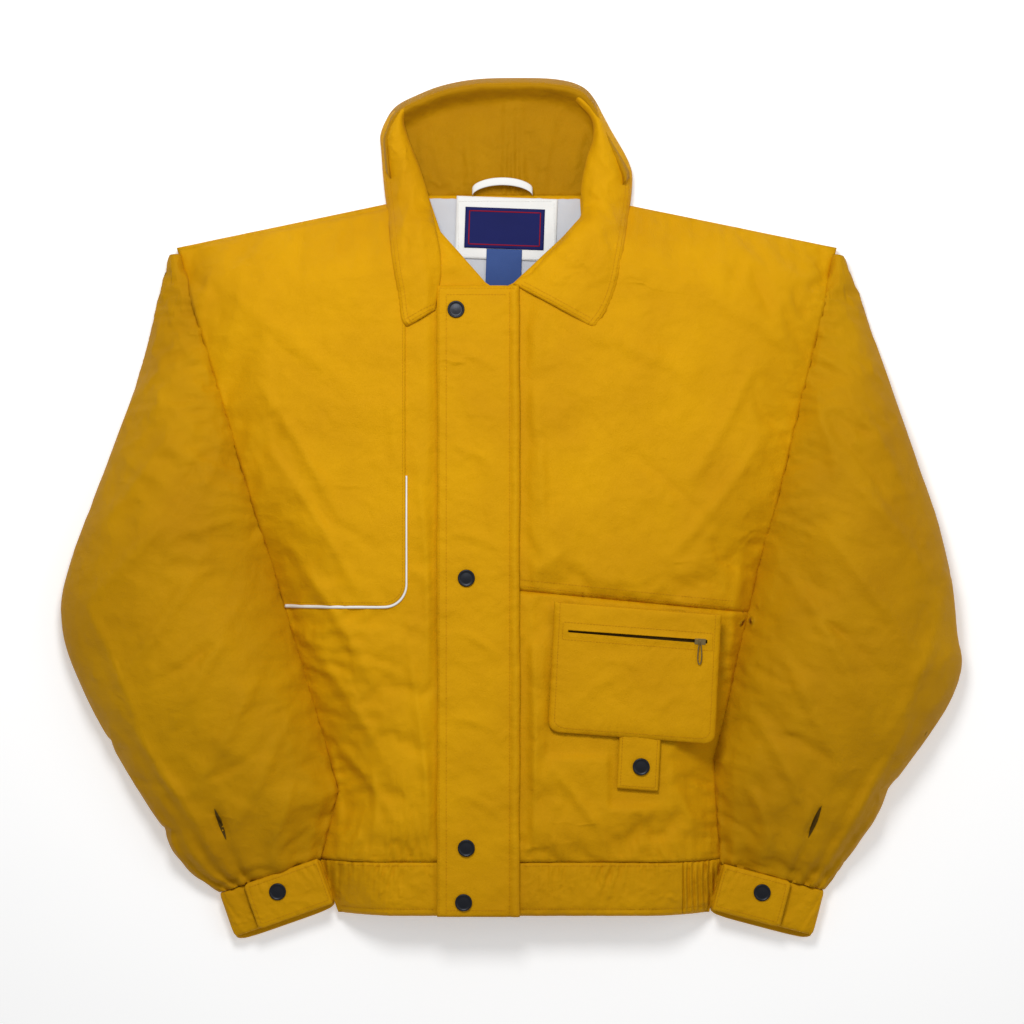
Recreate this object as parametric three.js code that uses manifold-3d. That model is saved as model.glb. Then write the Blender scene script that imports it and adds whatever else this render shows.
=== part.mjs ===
// A padded, zip-fronted blouson jacket, lying on its back with its sleeves laid down beside it.
// Millimetres. +X points to the wearer's left, +Y towards the collar, +Z up from the surface that
// the jacket lies on. The origin is under the middle of the whole jacket.
//
// The body is a sandwich: back panel, an air space for the wearer, and two fronts that meet at a
// zip. Each panel is a shell, a sheet of wadding and a lining. The fronts come down to the back at
// the side and shoulder seams, and stay apart from it at the armholes, the neck and the hem.

import * as THREE from "three";
import { mergeVertices } from "three/addons/utils/BufferGeometryUtils.js";
import Module from "manifold-3d";

const wasm = await Module();
wasm.setup();

// ---------------------------------------------------------------- cloth and clearances

const GAP = 0.3; // between touching layers
const BAND_GAP = 0.5; // between pieces sewn edge to edge
const SHELL = 2;
const LINING = 1.2;
const BACK_WADDING = 6;
const FRONT_WADDING = 8;
const BODY_SPACE = 22; // height of the air space inside the body
const ARM_SPACE = 16; // height of the armhole at the body's side
const SIDE_ROLL = 60; // width over which the front curves down to the side
const SHOULDER_ROLL = 70;

// ---------------------------------------------------------------- body

const BODY_LENGTH = 667; // neck seam to hem
const NECK_Y = 293.5;
const SHOULDER_DROP = 49; // shoulder tip below the neck seam
const BAND_DEPTH = 50; // waistband
const HEM_Y = NECK_Y - BODY_LENGTH;
const BAND_Y = HEM_Y + BAND_DEPTH;
const SHOULDER_Y = NECK_Y - SHOULDER_DROP;
const YOKE_DROP = 366; // cross seam below the neck seam, at the zip
const SEAM_FALL = 22; // how much lower the cross seam is at the side
const ARM_FOOT_DROP = 275; // foot of the armhole below the shoulder tip
const ARM_HEAD_DROP = 45;
const VEE_DROP = 86; // point of the neck opening below the neck seam

const ZIP_X = -12;
const ZIP_CHANNEL = 12; // between the edges of the two fronts

// The two sides, named as the wearer has them. reach is the distance from x = 0 along sign.
const RIGHT = {
  name: "right",
  sign: -1,
  shoulder: 311,
  fold: 160, // reach of the foot of the straight fold beside the sleeve
  foldDrop: 505, // and how far it is below the shoulder tip
  cuff: 177,
  cuffDrop: 567,
  tilt: THREE.MathUtils.degToRad(19.3),
  neck: 77,
  vee: [[1, 4], [50, 47]], // the edge of the neck opening: height above its point, and reach
  // down the sleeve as a share of its length, width, and how far the outer edge has dropped
  sleeve: [[0, 7.5, 1], [0.2, 68, 5], [0.44, 162, 15], [0.56, 199, 20], [0.68, 197, 29], [0.88, 168, 37], [0.95, 134, 38]],
  tabEnd: 74,
  snapAcross: 46,
};
const LEFT = {
  name: "left",
  sign: 1,
  shoulder: 303,
  fold: 189,
  foldDrop: 475,
  cuff: 195,
  cuffDrop: 572,
  tilt: THREE.MathUtils.degToRad(14.7),
  neck: 64,
  vee: [[1, 7], [42, 51], [65, 71]],
  sleeve: [[0, 7, 2], [0.2, 74, 9], [0.44, 156, 15], [0.55, 184, 29], [0.66, 200, 26], [0.84, 163, 31], [0.92, 130, 31]],
  tabEnd: 66,
  snapAcross: 42,
};

// ---------------------------------------------------------------- sleeves and cuffs

const SLEEVE_GAP = 1; // between a sleeve and the body beside it
const SLEEVE_UNDER = 8;
const SLEEVE_WADDING = 7;
const SLEEVE_CROWN = 46; // height of the space inside a sleeve at its fullest
const CUFF_WIDTH = 99;
const CUFF_DEPTH = 43;
const CUFF_WALL = 5;
const CUFF_HEIGHT = 20;
const UNDERLAP = 60; // how far the under end of the cuff runs in from its outer edge
const TAB_THICKNESS = 3;
const TAB_INSET = 2;
const SNAP_DOWN_CUFF = 15.5;

// ---------------------------------------------------------------- collar, labels and loop

const COLLAR_HEIGHT = 103; // back of the collar, above the neck seam
const COLLAR_THICKNESS = 12;
const LEAF_THICKNESS = 4;
const LEAF_TIP_DROP = 126; // tip of a collar leaf below the neck seam
const LEAF_LIFT = 1;
const LEAF_TURN = 2.5; // clear of the line that a leaf turns up on
const PATCH = { x: -4.5, width: 94, height: 58, thickness: 1 };
const LABEL = { x: -6, width: 74, height: 38, thickness: 0.6, drop: 10 };
const CARE_LABEL = { x: -5.5, width: 33, height: 42, thickness: 0.6 };
const LOOP = { x: -8, span: 56, width: 8, rise: 6, thickness: 1.4, foot: 8 };

// ---------------------------------------------------------------- storm flap, zip and snaps

const FLAP_LEFT_X = -68;
const FLAP_RIGHT_X = 8;
const FLAP_RISE = 2.2; // over the fronts, room for the lower half of a snap
const FLAP_THICKNESS = 3;
const FLAP_TOP_ABOVE_VEE = -0.5;
const SNAP_DROPS = [22, 269, 517, 567]; // each snap below the top of the storm flap
const SNAP_INSETS = [17.5, 27, 27, 24.5]; // and in from its free edge

const CAP_RADIUS = 7.9;
const CAP_HEIGHT = 2.6;
const BARREL_RADIUS = 3;
const BORE_RADIUS = 2.3;
const PIN_RADIUS = 1.7;
const STUD_RADIUS = 5;
const HOLE_RADIUS = BARREL_RADIUS + 0.4;

const TAPE_DEPTH = 5; // top of the zip tape below the face of the fronts
const TAPE_THICKNESS = 1;
const BEAD_WIDTH = 2.2;
const BEAD_HEIGHT = 1.6;
const SLIDER = { width: 9, length: 15, drop: 0.7 };
const PULL = { width: 6, length: 24, thickness: 1 };

// ---------------------------------------------------------------- chest panel and pocket

const CHEST_EDGE_X = -97;
const CHEST_EDGE_DROP = 381; // lower edge below the neck seam
const CHEST_LIFT = 1;
const PIPING_WIDTH = 2.4;
const PIPING_TOP_DROP = 261; // where the piping starts below the neck seam
const PIPING_CORNER = 20;

const POCKET = { x: 38, width: 154, drop: 377, height: 122, tilt: -0.077, corner: 10 };
const POCKET_RISE = 6.3; // underside of the pocket flap over the front
const POCKET_ROOT = 6;
const POUCH = { inset: 10, down: 42, height: 65, wall: 4, space: 4.4, roof: 1.2 };
const SLOT = { inset: 14, down: 26, length: 130, width: 6.4 };
const POCKET_TAPE = { margin: 5, width: 18, thickness: 1.1 };
const POCKET_SLIDER = { width: 5.4, length: 10, height: 4.4 };
const POCKET_PULL = { width: 5, length: 24, thickness: 1 };
const TAB = { along: 93, width: 38, length: 61, under: 14, rise: 3.3, thickness: 2.5, snapUp: 24 };

// ---------------------------------------------------------------- waist elastic

const ELASTIC_WIDTH = 36;

// ---------------------------------------------------------------- colours

const YELLOW = cloth(0xd6a00a);
const LINING_GREY = cloth(0xcaccd0);
const WADDING_WHITE = cloth(0xe9e9e4);
const WHITE_TAPE = cloth(0xeeeeea);
const NAVY = cloth(0x141e5f);
const BLUE = cloth(0x283c78);
const ELASTIC_YELLOW = cloth(0xc4900a);
const BLACK_METAL = new THREE.MeshStandardMaterial({ color: 0x17191c, roughness: 0.45, metalness: 0.5 });
const BRASS = new THREE.MeshStandardMaterial({ color: 0x8f7434, roughness: 0.35, metalness: 0.9 });

function cloth(color) {
  return new THREE.MeshStandardMaterial({ color, roughness: 0.75, metalness: 0 });
}

// ---------------------------------------------------------------- shared shapes

const jacket = new THREE.Group();
const { lerp, clamp } = THREE.MathUtils;
const swell = (t) => clamp(t, 0, 1) * (2 - clamp(t, 0, 1));

function add(name, geometry, material) {
  const mesh = new THREE.Mesh(geometry, material);
  mesh.name = name;
  jacket.add(mesh);
}

// The value at a station, along straight lines through [station, value] points in rising order.
function along(points, at) {
  const next = points.findIndex(([station]) => station >= at);
  if (next === -1) return points.at(-1)[1];
  if (next === 0) return points[0][1];
  const [from, to] = [points[next - 1], points[next]];
  return lerp(from[1], to[1], (at - from[0]) / (to[0] - from[0]));
}

function turnInsideOut(geometry) {
  const order = geometry.index.array;
  for (let i = 0; i < order.length; i += 3) [order[i + 1], order[i + 2]] = [order[i + 2], order[i + 1]];
}

// A closed sheet over a grid of points (rows of {x, y}), between two heights given as functions.
function slab(grid, under, over) {
  const columns = grid[0].length;
  const count = grid.length * columns;
  const corners = [];
  for (const height of [under, over])
    for (const row of grid) for (const point of row) corners.push(point.x, point.y, height(point));
  const at = (row, column, top) => top * count + row * columns + column;
  const faces = [];
  const quad = (a, b, c, d) => faces.push(a, b, c, a, c, d);
  const lastRow = grid.length - 1;
  const lastColumn = columns - 1;
  for (let r = 0; r < lastRow; r++) {
    for (let c = 0; c < lastColumn; c++) {
      quad(at(r, c, 1), at(r, c + 1, 1), at(r + 1, c + 1, 1), at(r + 1, c, 1));
      quad(at(r, c, 0), at(r + 1, c, 0), at(r + 1, c + 1, 0), at(r, c + 1, 0));
    }
    quad(at(r + 1, 0, 0), at(r, 0, 0), at(r, 0, 1), at(r + 1, 0, 1));
    quad(at(r, lastColumn, 0), at(r + 1, lastColumn, 0), at(r + 1, lastColumn, 1), at(r, lastColumn, 1));
  }
  for (let c = 0; c < lastColumn; c++) {
    quad(at(0, c, 0), at(0, c + 1, 0), at(0, c + 1, 1), at(0, c, 1));
    quad(at(lastRow, c + 1, 0), at(lastRow, c, 0), at(lastRow, c, 1), at(lastRow, c + 1, 1));
  }
  const geometry = new THREE.BufferGeometry();
  geometry.setAttribute("position", new THREE.Float32BufferAttribute(corners, 3));
  geometry.setIndex(faces);
  const [a, b, d] = [grid[0][0], grid[0][lastColumn], grid[lastRow][0]];
  const mirrored = (b.x - a.x) * (d.y - a.y) - (b.y - a.y) * (d.x - a.x) < 0;
  if (mirrored) turnInsideOut(geometry);
  return geometry;
}

const steps = (count) => Array.from({ length: count + 1 }, (_, i) => i / count);
const level = (height) => () => height;

// A grid ruled between two edges, each a list of [x, y] points followed by a smooth curve.
function ruledGrid(lower, upper, columns, rows) {
  const curve = (points) => new THREE.CatmullRomCurve3(points.map(([x, y]) => new THREE.Vector3(x, y, 0)));
  const [from, to] = [curve(lower), curve(upper)];
  return steps(rows).map((v) =>
    steps(columns).map((u) => from.getPoint(u).lerp(to.getPoint(u), v)));
}

function rectangleGrid(x0, x1, y0, y1, columns = 1, rows = 1) {
  return steps(rows).map((v) => steps(columns).map((u) => ({ x: lerp(x0, x1, u), y: lerp(y0, y1, v) })));
}

function roundedPlate(x0, x1, y0, y1, radii, holes = []) {
  const [lowLeft, lowRight, highRight, highLeft] = radii;
  const shape = new THREE.Shape();
  shape.moveTo(x0 + lowLeft, y0);
  shape.lineTo(x1 - lowRight, y0);
  if (lowRight) shape.absarc(x1 - lowRight, y0 + lowRight, lowRight, -Math.PI / 2, 0);
  shape.lineTo(x1, y1 - highRight);
  if (highRight) shape.absarc(x1 - highRight, y1 - highRight, highRight, 0, Math.PI / 2);
  shape.lineTo(x0 + highLeft, y1);
  if (highLeft) shape.absarc(x0 + highLeft, y1 - highLeft, highLeft, Math.PI / 2, Math.PI);
  shape.lineTo(x0, y0 + lowLeft);
  if (lowLeft) shape.absarc(x0 + lowLeft, y0 + lowLeft, lowLeft, Math.PI, 1.5 * Math.PI);
  shape.holes = holes.map(([x, y]) => new THREE.Path().absarc(x, y, HOLE_RADIUS, 0, 2 * Math.PI));
  return shape;
}

function plate(shape, bottom, thickness) {
  const options = { depth: thickness, bevelEnabled: false, curveSegments: 5 };
  return new THREE.ExtrudeGeometry(shape, options).translate(0, 0, bottom);
}

function box(x0, x1, y0, y1, z0, z1) {
  return new THREE.BoxGeometry(x1 - x0, y1 - y0, z1 - z0)
    .translate((x0 + x1) / 2, (y0 + y1) / 2, (z0 + z1) / 2);
}

// Solids that are joined or cut: geometry in, geometry out.
function solid(geometry) {
  const bare = geometry.clone();
  bare.deleteAttribute("normal");
  bare.deleteAttribute("uv");
  const merged = mergeVertices(bare, 1e-4);
  const vertProperties = new Float32Array(merged.attributes.position.array);
  const triVerts = new Uint32Array(merged.index.array);
  return new wasm.Manifold(new wasm.Mesh({ numProp: 3, vertProperties, triVerts }));
}

function geometryOf(manifold) {
  const { vertProperties, triVerts } = manifold.getMesh();
  const geometry = new THREE.BufferGeometry();
  geometry.setAttribute("position", new THREE.Float32BufferAttribute(vertProperties, 3));
  geometry.setIndex(Array.from(triVerts));
  return geometry;
}

const joined = (...parts) => geometryOf(parts.map(solid).reduce((all, part) => all.add(part)));
const cut = (part, ...tools) => geometryOf(tools.reduce((left, tool) => left.subtract(solid(tool)), solid(part)));

// ---------------------------------------------------------------- where the body's edges run

const sleeveLength = (side) => side.cuffDrop;
const foldY = (side) => SHOULDER_Y - side.foldDrop;
const cuffY = (side) => SHOULDER_Y - side.cuffDrop;
const veeY = NECK_Y - VEE_DROP;

// Reach of the body's side: the straight fold beside the sleeve, then the inner side of the cuff.
function sideReach(side, y) {
  const below = cuffY(side) - y;
  if (below > 0) return side.cuff - below * Math.tan(side.tilt);
  return along([[cuffY(side), side.cuff], [foldY(side), side.fold], [SHOULDER_Y, side.shoulder]], y);
}

// Reach of a front's inner edge: the zip, then the edge of the neck opening.
function centreReach(side, y) {
  const edge = side.sign * ZIP_X + ZIP_CHANNEL / 2;
  if (y <= veeY) return edge;
  const opening = side.vee.map(([up, out]) => [veeY + up, edge + out]);
  return along([[veeY, edge], ...opening, [NECK_Y, side.neck]], y);
}

const shoulderLine = [
  [-RIGHT.shoulder, SHOULDER_Y],
  [-RIGHT.neck, NECK_Y],
  [LEFT.neck, NECK_Y],
  [LEFT.shoulder, SHOULDER_Y],
];

const armHead = SHOULDER_Y - ARM_HEAD_DROP;
const armFoot = SHOULDER_Y - ARM_FOOT_DROP;
const armOpen = (y) => along([[armFoot - 20, 0], [armFoot + 20, 1], [armHead - 20, 1], [armHead + 15, 0]], y);

// Height of the air space inside the body: nothing along the side and shoulder seams.
function bodySpace({ x, y }) {
  const side = x < 0 ? RIGHT : LEFT;
  const inFromSide = sideReach(side, y) - Math.abs(x);
  const belowShoulder = along(shoulderLine, x) - y;
  const held = armOpen(y) * ARM_SPACE / BODY_SPACE;
  return BODY_SPACE * swell(belowShoulder / SHOULDER_ROLL) * lerp(held, 1, swell(inFromSide / SIDE_ROLL));
}

const BACK_WADDING_Z = SHELL + GAP;
const BACK_LINING_Z = BACK_WADDING_Z + BACK_WADDING + GAP;
const BACK_TOP = BACK_LINING_Z + LINING;
const FRONT_LINING_Z = BACK_TOP + GAP;
const FRONT_WADDING_Z = FRONT_LINING_Z + LINING + GAP;
const FRONT_SHELL_Z = FRONT_WADDING_Z + FRONT_WADDING + GAP;
const FRONT_Z = FRONT_SHELL_Z + SHELL;
const PLATEAU = FRONT_Z + BODY_SPACE; // face of the fronts, where they lie level
const over = (height) => (point) => height + bodySpace(point);

// ---------------------------------------------------------------- back

// Rows of the body by their heights at the side, so that each corner of the side is on a row.
function sideRows(side, seamY) {
  const armRows = steps(5).map((t) => lerp(seamY, SHOULDER_Y - SHOULDER_ROLL, t));
  const rollRows = [0.55, 0.3, 0.13, 0].map((t) => SHOULDER_Y - SHOULDER_ROLL * t);
  return [BAND_Y, foldY(side), lerp(foldY(side), seamY, 0.5), ...armRows, ...rollRows];
}

function backGrid() {
  const [right, left] = [RIGHT, LEFT].map((side) => sideRows(side, SHOULDER_Y - 340));
  return right.map((rightY, row) => {
    const leftY = left[row];
    const share = (rightY - BAND_Y) / (SHOULDER_Y - BAND_Y);
    const ends = [-sideReach(RIGHT, rightY), sideReach(LEFT, leftY)];
    return steps(8).map((u) => {
      const x = lerp(...ends, u);
      const straight = lerp(rightY, leftY, u);
      const top = along(shoulderLine, lerp(-RIGHT.shoulder, LEFT.shoulder, u));
      return { x, y: straight + share * (top - SHOULDER_Y) };
    });
  });
}

const back = backGrid();
add("back_shell", slab(back, level(0), level(SHELL)), YELLOW);
add("back_wadding", slab(back, level(BACK_WADDING_Z), level(BACK_LINING_Z - GAP)), WADDING_WHITE);
add("back_lining", slab(back, level(BACK_LINING_Z), level(BACK_TOP)), LINING_GREY);

// ---------------------------------------------------------------- fronts

const crossSeam = { side: NECK_Y - YOKE_DROP - SEAM_FALL, centre: NECK_Y - YOKE_DROP };
const chestEdgeY = NECK_Y - CHEST_EDGE_DROP;

function frontRows(side, seam) {
  const sides = sideRows(side, seam.side);
  const centres = sides.map((y, row) => {
    if (row < 4) return lerp(BAND_Y, seam.centre, (y - BAND_Y) / (seam.side - BAND_Y));
    return lerp(seam.centre, NECK_Y, (y - seam.side) / (SHOULDER_Y - seam.side));
  });
  return sides.map((y, row) => ({ side: y, centre: centres[row] }));
}

const ROLL_COLUMNS = [0, 7, 16, 28, 43, SIDE_ROLL];

// A front from its side in to a given reach (its own inner edge unless another is given).
function frontGrid(side, rows, inner = null, columns = 4) {
  return rows.map((row) => {
    const outer = sideReach(side, row.side);
    const edge = centreReach(side, row.centre);
    const stop = inner === null ? edge : inner;
    const flat = steps(columns).slice(1).map((t) => lerp(outer - SIDE_ROLL, stop, t));
    return [...ROLL_COLUMNS.map((d) => outer - d), ...flat].map((reach) => ({
      x: side.sign * reach,
      y: lerp(row.side, row.centre, (outer - reach) / (outer - edge)),
    }));
  });
}

function addFrontLayers(name, grid) {
  add(name + "_lining", slab(grid, over(FRONT_LINING_Z), over(FRONT_WADDING_Z - GAP)), LINING_GREY);
  add(name + "_wadding", slab(grid, over(FRONT_WADDING_Z), over(FRONT_SHELL_Z - GAP)), WADDING_WHITE);
}

const rightRows = frontRows(RIGHT, { side: chestEdgeY, centre: chestEdgeY });
const rightGrid = frontGrid(RIGHT, rightRows);
addFrontLayers("front_right", rightGrid);
add("front_right_shell", slab(rightGrid, over(FRONT_SHELL_Z), over(FRONT_Z)), YELLOW);

const SEAM_ROW = 3;
const leftRows = frontRows(LEFT, crossSeam);
const leftGrid = frontGrid(LEFT, leftRows);
const lowerGrid = leftGrid.slice(0, SEAM_ROW + 1);
const upperGrid = leftGrid.slice(SEAM_ROW);
upperGrid[0] = upperGrid[0].map(({ x, y }) => ({ x, y: y + GAP }));
addFrontLayers("front_left", leftGrid);
add("front_left_lower_shell", slab(lowerGrid, over(FRONT_SHELL_Z), over(FRONT_Z)), YELLOW);
add("front_left_upper_shell", slab(upperGrid, over(FRONT_SHELL_Z), over(FRONT_Z)), YELLOW);

// The chest panel is sewn over the right front; piping runs round its lower corner.
const chestRows = rightRows.slice(SEAM_ROW);
const chestGrid = frontGrid(RIGHT, chestRows, -CHEST_EDGE_X, 3);
const chestSheet = slab(chestGrid, over(FRONT_Z + CHEST_LIFT), over(FRONT_Z + CHEST_LIFT + LINING));

// What is trimmed off the panel's square corner to round it.
function cornerTrim() {
  const round = PIPING_CORNER;
  const shape = new THREE.Shape();
  shape.moveTo(CHEST_EDGE_X - round, chestEdgeY - 1);
  shape.lineTo(CHEST_EDGE_X + 1, chestEdgeY - 1);
  shape.lineTo(CHEST_EDGE_X + 1, chestEdgeY + round);
  shape.lineTo(CHEST_EDGE_X, chestEdgeY + round);
  shape.absarc(CHEST_EDGE_X - round, chestEdgeY + round, round, 0, -Math.PI / 2, true);
  return plate(shape, FRONT_Z, BODY_SPACE + 10);
}

add("chest_panel", cut(chestSheet, cornerTrim()), YELLOW);

function pipingGrid() {
  const middle = GAP + PIPING_WIDTH / 2;
  const [x, y] = [CHEST_EDGE_X + middle, chestEdgeY - middle];
  const round = PIPING_CORNER + middle;
  const cornerAt = [x - round, y + round];
  const down = [NECK_Y - PIPING_TOP_DROP, y + round].map((py) => ({ x, y: py, out: [1, 0] }));
  const bend = [1, 2, 3, 4, 5].map((step) => {
    const angle = -step * Math.PI / 12;
    const out = [Math.cos(angle), Math.sin(angle)];
    return { x: cornerAt[0] + round * out[0], y: cornerAt[1] + round * out[1], out };
  });
  const reach = sideReach(RIGHT, y) - 1;
  const across = [-cornerAt[0], reach - SIDE_ROLL, reach - 43, reach - 28, reach - 16, reach - 7, reach];
  const flat = across.map((r) => ({ x: -r, y, out: [0, -1] }));
  return [...down, ...bend, ...flat].map((p) =>
    [-0.5, 0.5].map((share) => ({
      x: p.x + p.out[0] * share * PIPING_WIDTH,
      y: p.y + p.out[1] * share * PIPING_WIDTH,
    })));
}

add("chest_piping", slab(pipingGrid(), over(FRONT_Z + 0.8), over(FRONT_Z + CHEST_LIFT + LINING + 0.8)), WHITE_TAPE);

// ---------------------------------------------------------------- zip

const tapeTop = PLATEAU - TAPE_DEPTH;
const zipTop = veeY - 4;
const HALF_CHANNEL = ZIP_CHANNEL / 2;

for (const side of [RIGHT, LEFT]) {
  const x = (across) => ZIP_X + side.sign * across;
  const between = (a, b, z0, z1) => box(Math.min(x(a), x(b)), Math.max(x(a), x(b)), HEM_Y + 1, zipTop, z0, z1);
  const tape = between(GAP / 2, HALF_CHANNEL - GAP, tapeTop - TAPE_THICKNESS, tapeTop);
  const bead = between(GAP / 2, GAP / 2 + BEAD_WIDTH / 2, tapeTop - TAPE_THICKNESS / 2, tapeTop + BEAD_HEIGHT);
  add("zip_tape_" + side.name, joined(tape, bead), YELLOW);
}

const sliderTop = tapeTop + TAPE_DEPTH - SLIDER.drop;
const beadTop = tapeTop + BEAD_HEIGHT;
const sliderY = zipTop - SLIDER.length;
const crown = box(ZIP_X - SLIDER.width / 2, ZIP_X + SLIDER.width / 2, sliderY, zipTop, beadTop + GAP, sliderTop);
const cheeks = [-1, 1].map((sign) => {
  const [inner, outer] = [BEAD_WIDTH / 2 + 0.6, SLIDER.width / 2].map((across) => ZIP_X + sign * across);
  return box(Math.min(inner, outer), Math.max(inner, outer), sliderY, zipTop, tapeTop + GAP, sliderTop - GAP);
});
add("zip_slider", joined(crown, ...cheeks), BRASS);
const pullZ = beadTop + GAP;
const halfPull = PULL.width / 2;
add(
  "zip_pull",
  box(ZIP_X - halfPull, ZIP_X + halfPull, sliderY - GAP - PULL.length, sliderY - GAP, pullZ, pullZ + PULL.thickness),
  BRASS,
);

// ---------------------------------------------------------------- snaps

function turned(profile, x, y) {
  const points = profile.map(([radius, z]) => new THREE.Vector2(radius, z));
  return new THREE.LatheGeometry(points, 20).rotateX(Math.PI / 2).translate(x, y, 0);
}

// A snap closes a layer on the piece under it. The cap's barrel goes through a hole in the layer.
function addSnap(name, [x, y], seat, under, top) {
  const studTop = top - GAP - 0.6;
  const stud = [[0, seat + GAP], [STUD_RADIUS, seat + GAP], [STUD_RADIUS, under - GAP], [PIN_RADIUS, under - GAP],
    [PIN_RADIUS, studTop], [0, studTop]];
  const [face, rim] = [top + GAP, top + GAP + CAP_HEIGHT / 2];
  const cap = [[0, top - GAP], [BORE_RADIUS, top - GAP], [BORE_RADIUS, under], [BARREL_RADIUS, under],
    [BARREL_RADIUS, face], [CAP_RADIUS, face], [CAP_RADIUS, rim], [CAP_RADIUS - 1.5, face + CAP_HEIGHT - 0.4],
    [0, face + CAP_HEIGHT]];
  add("snap_stud_" + name, turned(stud, x, y), BLACK_METAL);
  add("snap_cap_" + name, turned(cap, x, y), BLACK_METAL);
}

// ---------------------------------------------------------------- storm flap

const flapTopY = veeY + FLAP_TOP_ABOVE_VEE;
const flapZ = PLATEAU + FLAP_RISE;
const snapPlaces = SNAP_DROPS.map((drop, i) => [FLAP_LEFT_X + SNAP_INSETS[i], flapTopY - drop]);
const flapShape = roundedPlate(FLAP_LEFT_X, FLAP_RIGHT_X, HEM_Y, flapTopY, [0, 0, 0, 3], snapPlaces);
const root = box(FLAP_RIGHT_X - 7, FLAP_RIGHT_X, HEM_Y, flapTopY, PLATEAU + 0.7, flapZ + 1);
add("storm_flap", joined(plate(flapShape, flapZ, FLAP_THICKNESS), root), YELLOW);
["neck", "chest", "waist", "hem"].forEach((name, i) => {
  addSnap(name, snapPlaces[i], PLATEAU, flapZ, flapZ + FLAP_THICKNESS);
});

// ---------------------------------------------------------------- waistband

const bandTop = BAND_Y - BAND_GAP;
const bandSteps = [0, 0.5, 1].map((t) => lerp(HEM_Y, bandTop, t));

// A stretch of the front waistband, from one reach to another.
function bandGrid(side, outer, inner) {
  return bandSteps.map((y) => {
    const [from, to] = [outer(y), inner(y)];
    const roll = ROLL_COLUMNS.map((d) => sideReach(side, y) - d).filter((reach) => reach < from && reach > to);
    return [from, ...roll, to].map((reach) => ({ x: side.sign * reach, y }));
  });
}

const bandEdge = (side) => () => centreReach(side, BAND_Y);
const elasticEdge = (y) => sideReach(LEFT, y) - ELASTIC_WIDTH;
const bandUnder = over(FRONT_LINING_Z);
const bandOver = over(FRONT_Z);
const rightBand = bandGrid(RIGHT, (y) => sideReach(RIGHT, y), bandEdge(RIGHT));
const leftBand = bandGrid(LEFT, (y) => elasticEdge(y) - GAP, bandEdge(LEFT));
const leftElastic = bandGrid(LEFT, (y) => sideReach(LEFT, y), elasticEdge);
add("waistband_front_right", slab(rightBand, bandUnder, bandOver), YELLOW);
add("waistband_front_left", slab(leftBand, bandUnder, bandOver), YELLOW);
add("waist_elastic_left", slab(leftElastic, bandUnder, bandOver), ELASTIC_YELLOW);

const backBand = (from, to) => bandSteps.map((y) => steps(4).map((u) => ({ x: lerp(from(y), to(y), u), y })));
const rightEnd = (y) => -sideReach(RIGHT, y);
const rightElasticEdge = (y) => rightEnd(y) + ELASTIC_WIDTH;
const elasticBack = backBand(rightEnd, rightElasticEdge);
const bandBack = backBand((y) => rightElasticEdge(y) + GAP, (y) => sideReach(LEFT, y));
add("waist_elastic_right", slab(elasticBack, level(0), level(BACK_TOP)), ELASTIC_YELLOW);
add("waistband_back", slab(bandBack, level(0), level(BACK_TOP)), YELLOW);

// ---------------------------------------------------------------- collar, labels and loop

const COLLAR_Z = 2;
const collarFoot = NECK_Y + BAND_GAP;
const collarLower = [[-RIGHT.neck - 41, collarFoot], [0, collarFoot], [LEFT.neck + 49, collarFoot]];
const collarUpper = [
  [-RIGHT.neck - 43, NECK_Y + 62],
  [-RIGHT.neck - 30, NECK_Y + 80],
  [-RIGHT.neck + 22, NECK_Y + COLLAR_HEIGHT - 2],
  [LEFT.neck - 26, NECK_Y + COLLAR_HEIGHT],
  [LEFT.neck + 10, NECK_Y + COLLAR_HEIGHT - 10],
  [LEFT.neck + 46, NECK_Y + 32],
];
const collarGrid = ruledGrid(collarLower, collarUpper, 10, 4);
add("collar_back", slab(collarGrid, level(COLLAR_Z), level(COLLAR_Z + COLLAR_THICKNESS)), YELLOW);

// Each leaf lies on its front, inside the line that it turns up on.
function addLeaf(side, outer, inner, lift) {
  const grid = ruledGrid(outer, inner, 6, 4);
  const under = FRONT_Z + lift;
  add("collar_leaf_" + side.name, slab(grid, over(under), over(under + LEAF_THICKNESS)), YELLOW);
}

const tipY = NECK_Y - LEAF_TIP_DROP;
const leafTop = NECK_Y - 4;
const rightOuter = [[CHEST_EDGE_X + 1, tipY + 2], [-108.6, NECK_Y - 68], [-RIGHT.neck - 39, leafTop]];
const rightInner = [[FLAP_LEFT_X - LEAF_TURN, tipY + 16], [FLAP_LEFT_X - LEAF_TURN, veeY + 12], [-RIGHT.neck - 1, leafTop]];
addLeaf(RIGHT, rightOuter, rightInner, CHEST_LIFT + LINING + LEAF_LIFT);

const leftOuter = [[76, tipY], [96, tipY + 35], [108, NECK_Y - 31], [112, leafTop]];
const leftInner = [[FLAP_RIGHT_X + 6, veeY - 4], [42, veeY + 34], [LEFT.neck + 12, leafTop]];
addLeaf(LEFT, leftOuter, leftInner, LEAF_LIFT);

const patchZ = BACK_TOP + GAP;
const labelZ = patchZ + PATCH.thickness + GAP;
const patchTop = NECK_Y - 2;
const labelTop = patchTop - LABEL.drop;
const careTop = labelTop - LABEL.height - GAP;
const tag = (item, top, z) =>
  box(item.x - item.width / 2, item.x + item.width / 2, top - item.height, top, z, z + item.thickness);
add("neck_patch", tag(PATCH, patchTop, patchZ), WHITE_TAPE);
add("neck_label", tag(LABEL, labelTop, labelZ), NAVY);
add("care_label", tag(CARE_LABEL, careTop, labelZ), BLUE);

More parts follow.
